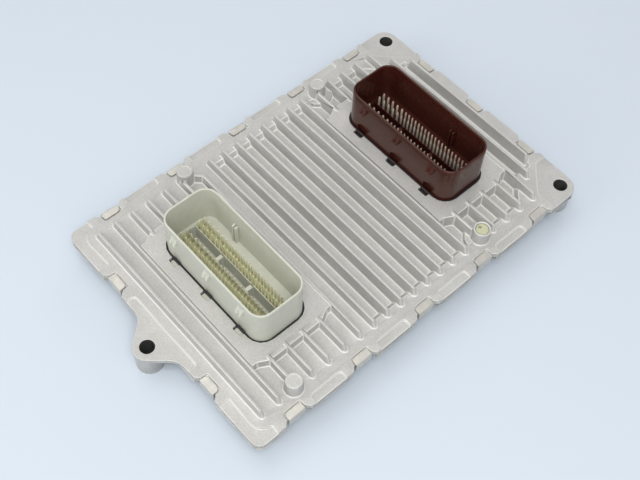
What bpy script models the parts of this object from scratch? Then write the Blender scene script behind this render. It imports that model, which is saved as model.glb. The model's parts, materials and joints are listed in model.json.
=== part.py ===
"""Engine control unit: a ribbed die-cast housing with two upright 96-pin headers, closed
from below by a pressed sheet cover whose tabs are folded over the housing's flange.

Metres, +Z up. The three feet stand on z = 0, +X is the long way of the body, with the
mounting ear at -X, and the box round the whole unit is centred on the origin.
"""

import math

import bmesh
import bpy
from mathutils import Matrix

COLLECTION_NAME = "engine_control_unit"
CUTTER_COLLECTION_NAME = "cutters"

# Casting: flange and feet
BODY_LENGTH = 0.2000
BODY_WIDTH = 0.1348
FLANGE_THICKNESS = 0.0032
FOOT_DIAMETER = 0.0126
MOUNT_HOLE_DIAMETER = 0.0068
CORNER_HOLE_INSET_X = 0.0064
CORNER_HOLE_INSET_Y = 0.0071
HOLE_END_CORNER_RADIUS = 0.0070
EAR_END_CORNER_RADIUS = 0.0045

# Casting: mounting ear
EAR_HOLE_OUT = 0.0060
EAR_HOLE_Y = -0.0010
EAR_TIP_RADIUS = 0.0066
EAR_BLEND_RADIUS = 0.0090
EAR_FLANK_ANGLE = math.radians(41.0)

# Casting: ribs, fins and plateaus
CASTING_WALL = 0.0024
RIB_HEIGHT = 0.0043
RIB_TOP_WIDTH = 0.0013
RIB_DRAFT = math.tan(math.radians(8.5))
RIB_END_SLOPE = 0.45
RIB_NOSE = 0.0014
RIB_NOSE_SHARE = 0.45
RIB_INSET = 0.0089
HEADER_RIB_PITCH = 0.0092
CENTRE_FIN_COUNT = 7
OUTER_RIB_STEP = 0.0072
OUTER_RIB_MARGIN = 0.0055
RECESS_DEPTH = 0.0020
RECESS_INSET = 0.0130
RECESS_CORNER_MARGIN = 0.0145
RECESS_END_SLOPE = 1.0
RIB_BEND_INSET = 0.0164
PLATEAU_HEIGHT = 0.0040
PLATEAU_MARGIN = 0.0077
PLATEAU_END_MARGIN = 0.0049
PLATEAU_SHOULDER = 0.0050
ROOT_EMBED = 0.0005

# Casting: board bosses
BOSS_HEIGHT = 0.0072
BOSS_TOP_DIAMETER = 0.0076
BOSS_BASE_DIAMETER = 0.0090
BOSS_PAD_DIAMETER = 0.0145
BOSS_PAD_DROP = 0.0001
BOSS_PAD_FLARE = 0.0008
BOSS_DISH_DIAMETER = 0.0058
BOSS_DISH_DEPTH = 0.0003
PLUG_BOSS_TOP_DIAMETER = 0.0084
POST_DIAMETER = 0.0060
PLUG_DIAMETER = 0.0060
PLUG_THICKNESS = 0.0011
PLUG_POCKET_DEPTH = 0.0016
PLUG_DIMPLE_DIAMETER = 0.0012
PLUG_DIMPLE_DEPTH = 0.0005
PLUG_CHAMFER = 0.0004

# Casting: stepped pads on the flange
PAD_STEP = 0.0008
PAD_SPACING = 0.0201
PAD_INSET = 0.0042
PAD_CORNER_RADIUS = 0.0015
PAD_SHIFT = -0.0009
EAR_PAD_INSET = 0.0045
CORNER_PAD_LENGTH = 0.0108
CORNER_PAD_WIDTH = 0.0249
EAR_PAD_HALF_WIDTH = 0.0220
HOLE_PAD_LENGTH = 0.0187
HOLE_PAD_WIDTH = 0.0234

# Cover: pan, lip and crimp tabs
SHEET = 0.0010
SEAL_SPACE = 0.0012
PAN_LIFT = 0.0026
PAN_INSET_X = 0.0052
PAN_INSET_Y = 0.0046
HOLE_TO_PAN = 0.01124
PAN_CORNER_RADIUS = 0.0058
PAN_DRAFT = 0.0012
TAB_WIDTH = 0.0088
TAB_LAP = 0.0038
TAB_NOTCH_DEPTH = 0.0022
TAB_SIDE_GAP = 0.0004
TAB_NOTCH_FLARE = 0.0022
TAB_SEAT_DEPTH = 0.0010
TAB_FOLD_CHAMFER = 0.0004
TAB_CORNER_RADIUS = 0.0015
LONG_TAB_STEPS = 4
FIRST_LONG_TAB_INSET = 0.0220
LAST_LONG_TAB_INSET = 0.0276
HOLE_END_TAB_INSET = 0.0331
EAR_END_TAB_INSET = 0.0349
BEAD_HEIGHT = 0.0008
BEAD_INSET = 0.0120

# Headers
GREY_INSET = 0.0426
BROWN_INSET = 0.0460
HEADER_LENGTH = 0.0682
HEADER_WIDTH = 0.0278
HEADER_CORNER_RADIUS = 0.0070
HEADER_WALL = 0.0014
HEADER_RIM_HEIGHT = 0.0250
HEADER_FLOOR_HEIGHT = 0.0045
HEADER_FLOOR_THICKNESS = 0.0030
HEADER_FLANGE_WIDTH = 0.0024
HEADER_FLANGE_THICKNESS = 0.0018
HEADER_GAP = 0.0010
WELL_MARGIN = 0.0010
LUG_PITCH = 0.0223
LUG_NOTCH_WIDTH = 0.0054
LUG_NOTCH_DEPTH = 0.0022
NICHE_WIDTH = 0.0052
NICHE_DEPTH = 0.0007
NICHE_RISE = 0.0044
LATCH_WIDTH = 0.0030
LATCH_HEIGHT = 0.0060
LATCH_REACH = 0.0012
LATCH_TOP_REACH = 0.0002
LATCH_DROP = 0.0015
SPINE_WIDTH = 0.0052
SPINE_WALL = 0.0005
SPINE_HEIGHT = 0.0015
SPINE_END_GAP = 0.0040
WELL_DEPTH = 0.0018
BRIDGE_WIDTH = 0.0026
KEY_WIDTH = 0.0010
KEY_SLOT = 0.0008
KEY_REACH = 0.0020
KEY_HEIGHT = 0.0121
GREY_KEY_Y = 0.0130
BROWN_KEY_Y = -0.0120

# Header pins
PIN_TIP_HEIGHT = 0.0110
PIN_TO_SPINE = 0.0008
PIN_ROW_PITCH = 0.0030
SIGNAL_PIN_SIZE = 0.00064
SIGNAL_PIN_PITCH = 0.00224
SIGNAL_PIN_COUNT = 19
POWER_PIN_SIZE = 0.00084
POWER_PIN_PITCH = 0.00315
POWER_PIN_COUNT = 5
PIN_GROUP_GAP = 0.0027
PIN_FIELD_SHIFT = 0.0006
PIN_TAPER = 0.6

# Header seals
SEAL_FOOT_WIDTH = 0.0017
SEAL_FOOT_THICKNESS = 0.0006
SEAL_DROP = 0.0006

# Cover seal
COVER_SEAL_INSET = 0.0005
COVER_SEAL_WIDTH = 0.0014

# Circuit board and what it carries
BOARD_THICKNESS = 0.0016
BOARD_TO_PAN = 0.0024
BOARD_EDGE_GAP = 0.0026
CHIP_HEIGHT = 0.0016
CONTROLLER_SIZE = 0.0270
FLASH_SIZE = (0.0120, 0.0180)
FLASH_SPACING = 0.0040
POWER_DRIVER_SIZE = (0.0110, 0.0140)
POWER_DRIVER_COUNT = 4
POWER_DRIVER_PITCH = 0.0150
POWER_DRIVER_INSET = 0.0200
SIGNAL_DRIVER_SIZE = (0.0050, 0.0062)
SIGNAL_DRIVER_COUNT = 5
SIGNAL_DRIVER_PITCH = 0.0100
SIGNAL_DRIVER_INSET = 0.0150
REGULATOR_SIZE = (0.0100, 0.0090)
REGULATOR_Y = 0.0300
CAPACITOR_SIZE = (0.0073, 0.0060)
CAPACITOR_HEIGHT = 0.0036
CAPACITOR_COUNT = 3
CAPACITOR_PITCH = 0.0110
FIRST_CAPACITOR_Y = -0.0080
CHOKE_SIZE = 0.0120
CHOKE_HEIGHT = 0.0038
CHOKE_Y = 0.0120
CRYSTAL_SIZE = (0.0050, 0.0032)
CRYSTAL_HEIGHT = 0.0012
THERMAL_PAD_THICKNESS = 0.0005
THERMAL_PAD_INSET = 0.0010
SUPPLY_ROW_INSET = 0.0103

# Board screws
SCREW_SHANK_DIAMETER = 0.0026
SCREW_HEAD_DIAMETER = 0.0052
SCREW_HEAD_HEIGHT = 0.0014
SCREW_LENGTH = 0.0062
SCREW_RECESS_DIAMETER = 0.0022
SCREW_RECESS_DEPTH = 0.0008
SCREW_CHAMFER = 0.0005

# Flat sides of each round form
MOUNT_SIDES = 20
PAD_SIDES = 14
BOSS_SIDES = 18
PLUG_SIDES = 14
DISH_SIDES = 10
SCREW_SIDES = 8

# Clearance between pieces that meet
CLEARANCE = 0.0003

# How far a cutter runs past what it cuts
CUT_ROOM = 0.0030

# Heights worked out from the sizes above, from the ground up
PAN_FLOOR = PAN_LIFT + SHEET
BOARD_BOTTOM = PAN_FLOOR + BOARD_TO_PAN
BOARD_TOP = BOARD_BOTTOM + BOARD_THICKNESS
SEATED = BOARD_TOP + CLEARANCE
THERMAL_PAD_BOTTOM = SEATED + CHIP_HEIGHT + CLEARANCE
CEILING_LOW = THERMAL_PAD_BOTTOM + THERMAL_PAD_THICKNESS + CLEARANCE
RECESS_FLOOR = CEILING_LOW + CASTING_WALL
FLANGE_TOP = RECESS_FLOOR + RECESS_DEPTH
FLANGE_BOTTOM = FLANGE_TOP - FLANGE_THICKNESS
RIB_TOP = FLANGE_TOP + RIB_HEIGHT
PLATEAU_TOP = FLANGE_TOP + PLATEAU_HEIGHT
BOSS_TOP = FLANGE_TOP + BOSS_HEIGHT
CEILING_HIGH = FLANGE_TOP - CASTING_WALL
CEILING_WELL = PLATEAU_TOP - CASTING_WALL
LIP_TOP = FLANGE_BOTTOM - SEAL_SPACE
LIP_BOTTOM = LIP_TOP - SHEET
TAB_SEAT = FLANGE_TOP - TAB_SEAT_DEPTH
PAD_LEVEL = FLANGE_TOP - PAD_STEP
HEADER_FLOOR_TOP = FLANGE_TOP + HEADER_FLOOR_HEIGHT
HEADER_FLOOR_BOTTOM = HEADER_FLOOR_TOP - HEADER_FLOOR_THICKNESS
HEADER_RIM = FLANGE_TOP + HEADER_RIM_HEIGHT
SEAL_FOOT_TOP = CEILING_WELL - CLEARANCE
SEAL_FOOT_BOTTOM = SEAL_FOOT_TOP - SEAL_FOOT_THICKNESS
HEADER_FLANGE_TOP = SEAL_FOOT_BOTTOM - CLEARANCE

# Places worked out from the sizes above
HALF_LENGTH = BODY_LENGTH / 2
HALF_WIDTH = BODY_WIDTH / 2
EAR_HOLE_X = -HALF_LENGTH - EAR_HOLE_OUT
EAR_REACH = EAR_HOLE_OUT + EAR_TIP_RADIUS
CORNER_HOLE_X = HALF_LENGTH - CORNER_HOLE_INSET_X
CORNER_HOLE_Y = HALF_WIDTH - CORNER_HOLE_INSET_Y
MOUNT_HOLES = (
    (EAR_HOLE_X, EAR_HOLE_Y),
    (CORNER_HOLE_X, CORNER_HOLE_Y),
    (CORNER_HOLE_X, -CORNER_HOLE_Y),
)
PAN_HALF_LENGTH = HALF_LENGTH - PAN_INSET_X
PAN_HALF_WIDTH = HALF_WIDTH - PAN_INSET_Y
PAN_CORNER_SUM = CORNER_HOLE_X + CORNER_HOLE_Y - HOLE_TO_PAN * math.sqrt(2)
TAB_NOTCH_WIDTH = TAB_WIDTH + 2 * TAB_SIDE_GAP
TAB_NOTCH_MOUTH = TAB_NOTCH_WIDTH + 2 * TAB_NOTCH_FLARE
FIRST_LONG_TAB = FIRST_LONG_TAB_INSET - HALF_LENGTH
LAST_LONG_TAB = HALF_LENGTH - LAST_LONG_TAB_INSET
LONG_TAB_PITCH = (LAST_LONG_TAB - FIRST_LONG_TAB) / LONG_TAB_STEPS
GREY_X = GREY_INSET - HALF_LENGTH
BROWN_X = HALF_LENGTH - BROWN_INSET
HEADER_SIDE = 2.5 * HEADER_RIB_PITCH
GREY_LAST_RIB = GREY_X + HEADER_SIDE
BROWN_FIRST_RIB = BROWN_X - HEADER_SIDE
FIN_PITCH = (BROWN_FIRST_RIB - GREY_LAST_RIB) / (CENTRE_FIN_COUNT + 1)
FIRST_FIN = GREY_LAST_RIB + FIN_PITCH
RIB_REACH = HALF_WIDTH - RIB_INSET
RECESS_REACH = HALF_WIDTH - RECESS_INSET
PLATEAU_REACH = HEADER_LENGTH / 2 + PLATEAU_MARGIN
PLATEAU_END_REACH = HEADER_LENGTH / 2 + PLATEAU_END_MARGIN
SPINE_LENGTH = HEADER_LENGTH - 2 * SPINE_END_GAP
PIN_ROW_INNER = SPINE_WIDTH / 2 + PIN_TO_SPINE
PIN_ROW_OUTER = PIN_ROW_INNER + PIN_ROW_PITCH
HEADERS = {"grey": (GREY_X, GREY_KEY_Y), "brown": (BROWN_X, BROWN_KEY_Y)}
LUG_PLACES = (LUG_PITCH, 0.0, -LUG_PITCH)

# Each boss by its header, its way along from it, its side and its inset from the edge
BOSSES = (
    (GREY_X, 0.0168, 1, 0.0106),
    (BROWN_X, -0.0119, 1, 0.0106),
    (GREY_X, -0.0140, -1, 0.0111),
    (BROWN_X, -0.0119, -1, 0.0116),
)
BOSS_PLACES = [(x + along, side * (HALF_WIDTH - inset)) for x, along, side, inset in BOSSES]


# Collections, materials and the origin that everything hangs on
def new_collection(name):
    """Makes a collection and links it to the scene."""
    collection = bpy.data.collections.new(name)
    bpy.context.scene.collection.children.link(collection)
    return collection


for old in list(bpy.data.objects):
    bpy.data.objects.remove(old, do_unlink=True)
PARTS = new_collection(COLLECTION_NAME)
CUTTERS = new_collection(CUTTER_COLLECTION_NAME)
ORIGIN = bpy.data.objects.new("body_centre", None)
ORIGIN.location = (EAR_REACH / 2, 0.0, 0.0)
PARTS.objects.link(ORIGIN)


def material(name, colour, roughness, metallic=0.0):
    """A plain Principled material."""
    made = bpy.data.materials.new(name)
    made.use_nodes = True
    shader = made.node_tree.nodes["Principled BSDF"]
    shader.inputs["Base Color"].default_value = (*colour, 1.0)
    shader.inputs["Roughness"].default_value = roughness
    shader.inputs["Metallic"].default_value = metallic
    return made


# Outlines, as lists of points that run anticlockwise
def arc(x, y, radius, start, end, steps):
    """Points on a round stretch, with its angles in degrees."""
    points = []
    for step in range(steps + 1):
        angle = math.radians(start + (end - start) * step / steps)
        points.append((x + radius * math.cos(angle), y + radius * math.sin(angle)))
    return points


def rounded_rectangle(half_x, half_y, radius, x=0.0, y=0.0, steps=4):
    """A rectangle with four round corners."""
    inner_x = half_x - radius
    inner_y = half_y - radius
    return (
        arc(x + inner_x, y + inner_y, radius, 0, 90, steps)
        + arc(x - inner_x, y + inner_y, radius, 90, 180, steps)
        + arc(x - inner_x, y - inner_y, radius, 180, 270, steps)
        + arc(x + inner_x, y - inner_y, radius, 270, 360, steps)
    )


def rectangle(x0, x1, y0, y1):
    """A plain rectangle."""
    return [(x0, y0), (x1, y0), (x1, y1), (x0, y1)]


def offset_outline(points, distance):
    """The outline moved outwards by a distance, with mitred corners."""
    moved = []
    for index, (x, y) in enumerate(points):
        before = points[index - 1]
        after = points[(index + 1) % len(points)]
        along_in = math.atan2(y - before[1], x - before[0])
        along_out = math.atan2(after[1] - y, after[0] - x)
        turn = math.remainder(along_out - along_in, math.tau) / 2
        normal = along_in + turn - math.pi / 2
        reach = distance / math.cos(turn)
        moved.append((x + reach * math.cos(normal), y + reach * math.sin(normal)))
    return moved


def mirrored_y(points):
    """The outline reflected in the X axis, still anticlockwise."""
    return [(x, -y) for x, y in reversed(points)]


def body_outline(with_ear):
    """The flange's outline: two kinds of corner and, at the -X end, the mounting ear."""
    far = HOLE_END_CORNER_RADIUS
    near = EAR_END_CORNER_RADIUS
    points = arc(HALF_LENGTH - far, HALF_WIDTH - far, far, 0, 90, 5)
    points += arc(near - HALF_LENGTH, HALF_WIDTH - near, near, 90, 180, 4)
    if with_ear:
        points += ear_outline()
    points += arc(near - HALF_LENGTH, near - HALF_WIDTH, near, 180, 270, 4)
    points += arc(HALF_LENGTH - far, far - HALF_WIDTH, far, 270, 360, 5)
    return points


def ear_outline():
    """Down the ear: a hollow blend, a straight flank, the round tip and the same again."""
    flank = math.degrees(EAR_FLANK_ANGLE)
    sine = math.sin(EAR_FLANK_ANGLE)
    cosine = math.cos(EAR_FLANK_ANGLE)
    blend_out = EAR_HOLE_OUT - EAR_BLEND_RADIUS
    rise = (EAR_TIP_RADIUS + EAR_BLEND_RADIUS + sine * blend_out) / cosine
    blend_x = -HALF_LENGTH - EAR_BLEND_RADIUS
    points = arc(blend_x, EAR_HOLE_Y + rise, EAR_BLEND_RADIUS, 0, flank - 90, 4)
    points += arc(EAR_HOLE_X, EAR_HOLE_Y, EAR_TIP_RADIUS, 90 + flank, 270 - flank, 6)
    points += arc(blend_x, EAR_HOLE_Y - rise, EAR_BLEND_RADIUS, 90 - flank, 0, 4)
    return points


def pan_outline(grow):
    """The cover pan's outline, larger by grow: it goes slantwise past the corner feet."""
    half_x = PAN_HALF_LENGTH + grow
    half_y = PAN_HALF_WIDTH + grow
    corner_sum = PAN_CORNER_SUM + grow * math.sqrt(2)
    radius = PAN_CORNER_RADIUS + grow
    upper = [(half_x, corner_sum - half_x), (corner_sum - half_y, half_y)]
    upper += arc(radius - half_x, half_y - radius, radius, 90, 180, 4)
    return upper + mirrored_y(upper)


def header_outline(grow, x=0.0):
    """A header's outer wall, larger by grow."""
    half_x = HEADER_WIDTH / 2 + grow
    half_y = HEADER_LENGTH / 2 + grow
    return rounded_rectangle(half_x, half_y, HEADER_CORNER_RADIUS + grow, x)


def lugged_outline(grow, lug_reach, lug_width, x=0.0):
    """A header's outline with three square lugs on its -X side."""
    points = header_outline(grow, x)
    left = x - HEADER_WIDTH / 2 - grow
    lugs = []
    for y in LUG_PLACES:
        top = y + lug_width / 2
        bottom = y - lug_width / 2
        lugs += [(left, top), (left - lug_reach, top), (left - lug_reach, bottom), (left, bottom)]
    half = len(points) // 2
    return points[:half] + lugs + points[half:]


# Solids
def finish_object(name, mesh, collection):
    """Puts a mesh in the scene under the unit's origin."""
    made = bpy.data.objects.new(name, mesh)
    made.parent = ORIGIN
    collection.objects.link(made)
    if collection is CUTTERS:
        made.hide_render = True
        made.display_type = "WIRE"
    return made


def plate(name, outlines, low, high, collection=None):
    """A flat piece between two heights: a filled 2D curve that is then made a mesh."""
    curve = bpy.data.curves.new(name + "_outline", "CURVE")
    curve.dimensions = "2D"
    curve.fill_mode = "BOTH"
    curve.extrude = (high - low) / 2
    for outline in outlines:
        spline = curve.splines.new("POLY")
        spline.points.add(len(outline) - 1)
        for point, (x, y) in zip(spline.points, outline):
            point.co = (x, y, 0.0, 1.0)
        spline.use_cyclic_u = True
    holder = bpy.data.objects.new(name + "_curve", curve)
    bpy.context.scene.collection.objects.link(holder)
    graph = bpy.context.evaluated_depsgraph_get()
    mesh = bpy.data.meshes.new_from_object(holder.evaluated_get(graph))
    bpy.data.objects.remove(holder, do_unlink=True)
    shape = bmesh.new()
    shape.from_mesh(mesh)
    bmesh.ops.remove_doubles(shape, verts=shape.verts, dist=0.000001)
    bmesh.ops.translate(shape, verts=shape.verts, vec=(0.0, 0.0, (low + high) / 2))
    bmesh.ops.recalc_face_normals(shape, faces=shape.faces)
    shape.to_mesh(mesh)
    shape.free()
    mesh.name = name
    mesh.materials.clear()
    return finish_object(name, mesh, collection or CUTTERS)


def loft(name, sections, collection=None):
    """Drafted blocks: each goes from one outline up to another of as many points."""
    shape = bmesh.new()
    for low_outline, high_outline, low, high in sections:
        base = [shape.verts.new((x, y, low)) for x, y in low_outline]
        face = shape.faces.new(base)
        raised = bmesh.ops.extrude_face_region(shape, geom=[face])["geom"]
        top = {item for item in raised if isinstance(item, bmesh.types.BMVert)}
        for vert, (x, y) in zip(base, high_outline):
            for edge in vert.link_edges:
                above = edge.other_vert(vert)
                if above in top:
                    above.co = (x, y, high)
    bmesh.ops.recalc_face_normals(shape, faces=shape.faces)
    mesh = bpy.data.meshes.new(name)
    shape.to_mesh(mesh)
    shape.free()
    return finish_object(name, mesh, collection or CUTTERS)


def boxes(name, places, collection=None):
    """Boxes in one mesh, each given by its lowest and highest corner."""
    shape = bmesh.new()
    for low, high in places:
        made = bmesh.ops.create_cube(shape, size=1.0)["verts"]
        size = [b - a for a, b in zip(low, high)]
        middle = [(a + b) / 2 for a, b in zip(low, high)]
        bmesh.ops.scale(shape, verts=made, vec=size)
        bmesh.ops.translate(shape, verts=made, vec=middle)
    mesh = bpy.data.meshes.new(name)
    shape.to_mesh(mesh)
    shape.free()
    return finish_object(name, mesh, collection or CUTTERS)


def drums(name, places, collection=None):
    """Upright round pieces in one mesh: x, y, low, high, lower and upper radius, sides."""
    shape = bmesh.new()
    for x, y, low, high, lower_radius, upper_radius, sides in places:
        made = bmesh.ops.create_cone(
            shape,
            cap_ends=True,
            segments=sides,
            radius1=lower_radius,
            radius2=upper_radius,
            depth=high - low,
        )["verts"]
        bmesh.ops.translate(shape, verts=made, vec=(x, y, (low + high) / 2))
    mesh = bpy.data.meshes.new(name)
    shape.to_mesh(mesh)
    shape.free()
    return finish_object(name, mesh, collection or CUTTERS)


def copies(name, mesh, places, collection=None):
    """One mesh repeated at each place, as separate solids of one object."""
    shape = bmesh.new()
    for place in places:
        first = len(shape.verts)
        shape.from_mesh(mesh)
        shape.verts.ensure_lookup_table()
        bmesh.ops.translate(shape, verts=shape.verts[first:], vec=place)
    repeated = bpy.data.meshes.new(name)
    shape.to_mesh(repeated)
    shape.free()
    return finish_object(name, repeated, collection or CUTTERS)


def turned_mesh(name, profile, sides):
    """A solid of revolution: the profile runs down its outer side and is screwed round Z."""
    line = bpy.data.meshes.new(name + "_profile")
    points = [(radius, 0.0, height) for radius, height in profile]
    line.from_pydata(points, [(i, i + 1) for i in range(len(points) - 1)], [])
    holder = bpy.data.objects.new(name + "_holder", line)
    bpy.context.scene.collection.objects.link(holder)
    screw = holder.modifiers.new("turn", "SCREW")
    screw.steps = sides
    screw.render_steps = sides
    screw.use_merge_vertices = True
    screw.merge_threshold = 0.00001
    screw.use_smooth_shade = False
    graph = bpy.context.evaluated_depsgraph_get()
    mesh = bpy.data.meshes.new_from_object(holder.evaluated_get(graph))
    bpy.data.objects.remove(holder, do_unlink=True)
    shape = bmesh.new()
    shape.from_mesh(mesh)
    bmesh.ops.recalc_face_normals(shape, faces=shape.faces)
    shape.to_mesh(mesh)
    shape.free()
    return mesh


def combine(target, tool, operation):
    """Adds a Boolean of another solid to the target."""
    boolean = target.modifiers.new(tool.name, "BOOLEAN")
    boolean.operation = operation
    boolean.solver = "EXACT"
    boolean.object = tool


def add(target, tool):
    """Joins a solid to the target."""
    combine(target, tool, "UNION")


def cut(target, tool):
    """Cuts a solid out of the target."""
    combine(target, tool, "DIFFERENCE")


def dress(target, surface):
    """Gives a piece its material, with round stretches shaded smooth."""
    target.data.materials.append(surface)
    target.data.shade_smooth()
    target.data.set_sharp_from_angle(angle=math.radians(30.0))


# Places along the flange where a crimp tab sits, each as its middle and outward direction
def tab_places():
    """Five tabs on each long side, three at the hole end and two at the ear end."""
    places = []
    for step in range(LONG_TAB_STEPS + 1):
        x = FIRST_LONG_TAB + step * LONG_TAB_PITCH
        places.append((x, HALF_WIDTH, 90.0))
        places.append((x, -HALF_WIDTH, -90.0))
    for side in (-1, 0, 1):
        places.append((HALF_LENGTH, side * (HALF_WIDTH - HOLE_END_TAB_INSET), 0.0))
    for side in (-1, 1):
        places.append((-HALF_LENGTH, side * (HALF_WIDTH - EAR_END_TAB_INSET), 180.0))
    return places


def set_out(outline, x, y, direction):
    """Turns an outline whose +X points outwards and puts it at a place on the edge."""
    cosine = math.cos(math.radians(direction))
    sine = math.sin(math.radians(direction))
    return [(x + cosine * u - sine * v, y + sine * u + cosine * v) for u, v in outline]


def tab_seats():
    """Shallow seats in the flange's top face where the folded tabs lie."""
    reach = TAB_LAP + TAB_NOTCH_DEPTH - SHEET
    seat = rectangle(-reach - CLEARANCE, CUT_ROOM, -TAB_NOTCH_WIDTH / 2, TAB_NOTCH_WIDTH / 2)
    return [set_out(seat, *place) for place in tab_places()]


def flange_notches():
    """Notches through the flange that let the tabs past, wider at the mouth."""
    narrow = TAB_NOTCH_WIDTH / 2
    flare = (TAB_NOTCH_MOUTH / 2 - narrow) / TAB_NOTCH_DEPTH
    wide = TAB_NOTCH_MOUTH / 2 + flare * CUT_ROOM
    notch = [
        (-TAB_NOTCH_DEPTH, -narrow),
        (CUT_ROOM, -wide),
        (CUT_ROOM, wide),
        (-TAB_NOTCH_DEPTH, narrow),
    ]
    return [set_out(notch, *place) for place in tab_places()]


def flange_pads():
    """Pads that step down from the flange's face: between tabs, in the corners, on the ear."""
    pads = []
    half = (LONG_TAB_PITCH - PAD_SPACING) / 2
    for step in range(LONG_TAB_STEPS):
        x = FIRST_LONG_TAB + (step + 0.5) * LONG_TAB_PITCH + PAD_SHIFT
        low = HALF_WIDTH - PAD_INSET
        high = HALF_WIDTH + CUT_ROOM
        middle = (low + high) / 2
        pad = rounded_rectangle(half, (high - low) / 2, PAD_CORNER_RADIUS, x, middle, 2)
        pads += [pad, mirrored_y(pad)]
    radius = PAN_CORNER_RADIUS + CLEARANCE
    near = [
        (CORNER_PAD_LENGTH - HALF_LENGTH, HALF_WIDTH + CUT_ROOM),
        (-HALF_LENGTH - CUT_ROOM, HALF_WIDTH + CUT_ROOM),
        (-HALF_LENGTH - CUT_ROOM, HALF_WIDTH - CORNER_PAD_WIDTH),
        (-PAN_HALF_LENGTH, HALF_WIDTH - CORNER_PAD_WIDTH),
    ]
    corner_x = radius - PAN_HALF_LENGTH - CLEARANCE
    corner_y = PAN_HALF_WIDTH + CLEARANCE - radius
    near += arc(corner_x, corner_y, radius, 180, 90, 4)
    start_x = HALF_LENGTH - HOLE_PAD_LENGTH
    start_y = HALF_WIDTH - HOLE_PAD_WIDTH
    far = [
        (HALF_LENGTH + CUT_ROOM, start_y),
        (HALF_LENGTH + CUT_ROOM, HALF_WIDTH + CUT_ROOM),
        (start_x, HALF_WIDTH + CUT_ROOM),
        (start_x, PAN_CORNER_SUM - start_x),
        (PAN_CORNER_SUM - start_y, start_y),
    ]
    for pad in (near, far):
        pads += [pad, mirrored_y(pad)]
    ear_low = -HALF_LENGTH - EAR_REACH - CUT_ROOM
    ear_high = EAR_PAD_INSET - HALF_LENGTH
    half_x = (ear_high - ear_low) / 2
    middle_x = (ear_high + ear_low) / 2
    ear_pad = rounded_rectangle(half_x, EAR_PAD_HALF_WIDTH, PAD_CORNER_RADIUS, middle_x, 0.0, 2)
    return pads + [ear_pad]


# Ribs and plateaus
def rib_outline(x, low_y, high_y, half_width, nose):
    """A long bar seen from above, its two ends drawn in to a blunt nose."""
    tip = half_width * RIB_NOSE_SHARE
    return [
        (x - tip, low_y),
        (x + tip, low_y),
        (x + half_width, low_y + nose),
        (x + half_width, high_y - nose),
        (x + tip, high_y),
        (x - tip, high_y),
        (x - half_width, high_y - nose),
        (x - half_width, low_y + nose),
    ]


def rib(x, low_y, high_y, root):
    """One drafted rib from its root up to the common rib height."""
    tall = RIB_TOP - root
    root_half = RIB_TOP_WIDTH / 2 + tall * RIB_DRAFT
    slope = tall * RIB_END_SLOPE
    at_field = RIB_HEIGHT * RIB_END_SLOPE
    spread = slope - at_field
    low_section = rib_outline(x, low_y - spread, high_y + spread, root_half, RIB_NOSE)
    high_section = rib_outline(
        x, low_y + at_field, high_y - at_field, RIB_TOP_WIDTH / 2, RIB_NOSE / 3
    )
    return low_section, high_section, root, RIB_TOP


def bent_outline(x, low_y, bend_y, end, half_width, nose):
    """A long bar seen from above: straight up from its blunt nose, then slantwise to its end."""
    tip = half_width * RIB_NOSE_SHARE
    length = math.hypot(end[0] - x, end[1] - bend_y)
    across_x = half_width * (end[1] - bend_y) / length
    across_y = half_width * (end[0] - x) / length
    mitre = half_width * across_y / (half_width + across_x)
    return [
        (x - tip, low_y),
        (x + tip, low_y),
        (x + half_width, low_y + nose),
        (x + half_width, bend_y - mitre),
        (end[0] + across_x, end[1] - across_y),
        (end[0] - across_x, end[1] + across_y),
        (x - half_width, bend_y + mitre),
        (x - half_width, low_y + nose),
    ]


def bent_rib(x, low_y, bend_y, end, root):
    """One drafted rib that turns aside near its far end and runs into a boss."""
    tall = RIB_TOP - root
    root_half = RIB_TOP_WIDTH / 2 + tall * RIB_DRAFT
    at_field = RIB_HEIGHT * RIB_END_SLOPE
    spread = tall * RIB_END_SLOPE - at_field
    low_section = bent_outline(x, low_y - spread, bend_y, end, root_half, RIB_NOSE)
    high_section = bent_outline(
        x, low_y + at_field, bend_y, end, RIB_TOP_WIDTH / 2, RIB_NOSE / 3
    )
    return low_section, high_section, root, RIB_TOP


def all_ribs():
    """Every rib and fin of the casting."""
    field_root = FLANGE_TOP - ROOT_EMBED
    recess_root = RECESS_FLOOR - ROOT_EMBED
    buried = PLATEAU_END_REACH - RIB_HEIGHT * RIB_END_SLOPE
    ribs = []
    for x in (GREY_X - HEADER_SIDE - HEADER_RIB_PITCH, GREY_X - HEADER_SIDE):
        ribs.append(rib(x, -RIB_REACH, RIB_REACH, field_root))
    bend_y = HALF_WIDTH - RIB_BEND_INSET
    ribs.append(bent_rib(GREY_LAST_RIB, -RIB_REACH, bend_y, BOSS_PLACES[0], field_root))
    for x in (BROWN_FIRST_RIB, BROWN_X + HEADER_SIDE):
        ribs.append(rib(x, -RIB_REACH, RIB_REACH, recess_root))
    for centre, root in ((GREY_X, field_root), (BROWN_X, recess_root)):
        for step in (-1.5, -0.5, 0.5, 1.5):
            x = centre + step * HEADER_RIB_PITCH
            ribs.append(rib(x, -RIB_REACH, -buried, root))
            ribs.append(rib(x, buried, RIB_REACH, root))
    for index in range(CENTRE_FIN_COUNT):
        x = FIRST_FIN + index * FIN_PITCH
        ribs.append(rib(x, -RIB_REACH, RIB_REACH, recess_root))
    for index in (1, 2):
        x = BROWN_X + HEADER_SIDE + index * OUTER_RIB_STEP
        reach = PAN_CORNER_SUM - OUTER_RIB_MARGIN - x
        ribs.append(rib(x, -reach, reach, recess_root))
    return ribs


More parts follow.
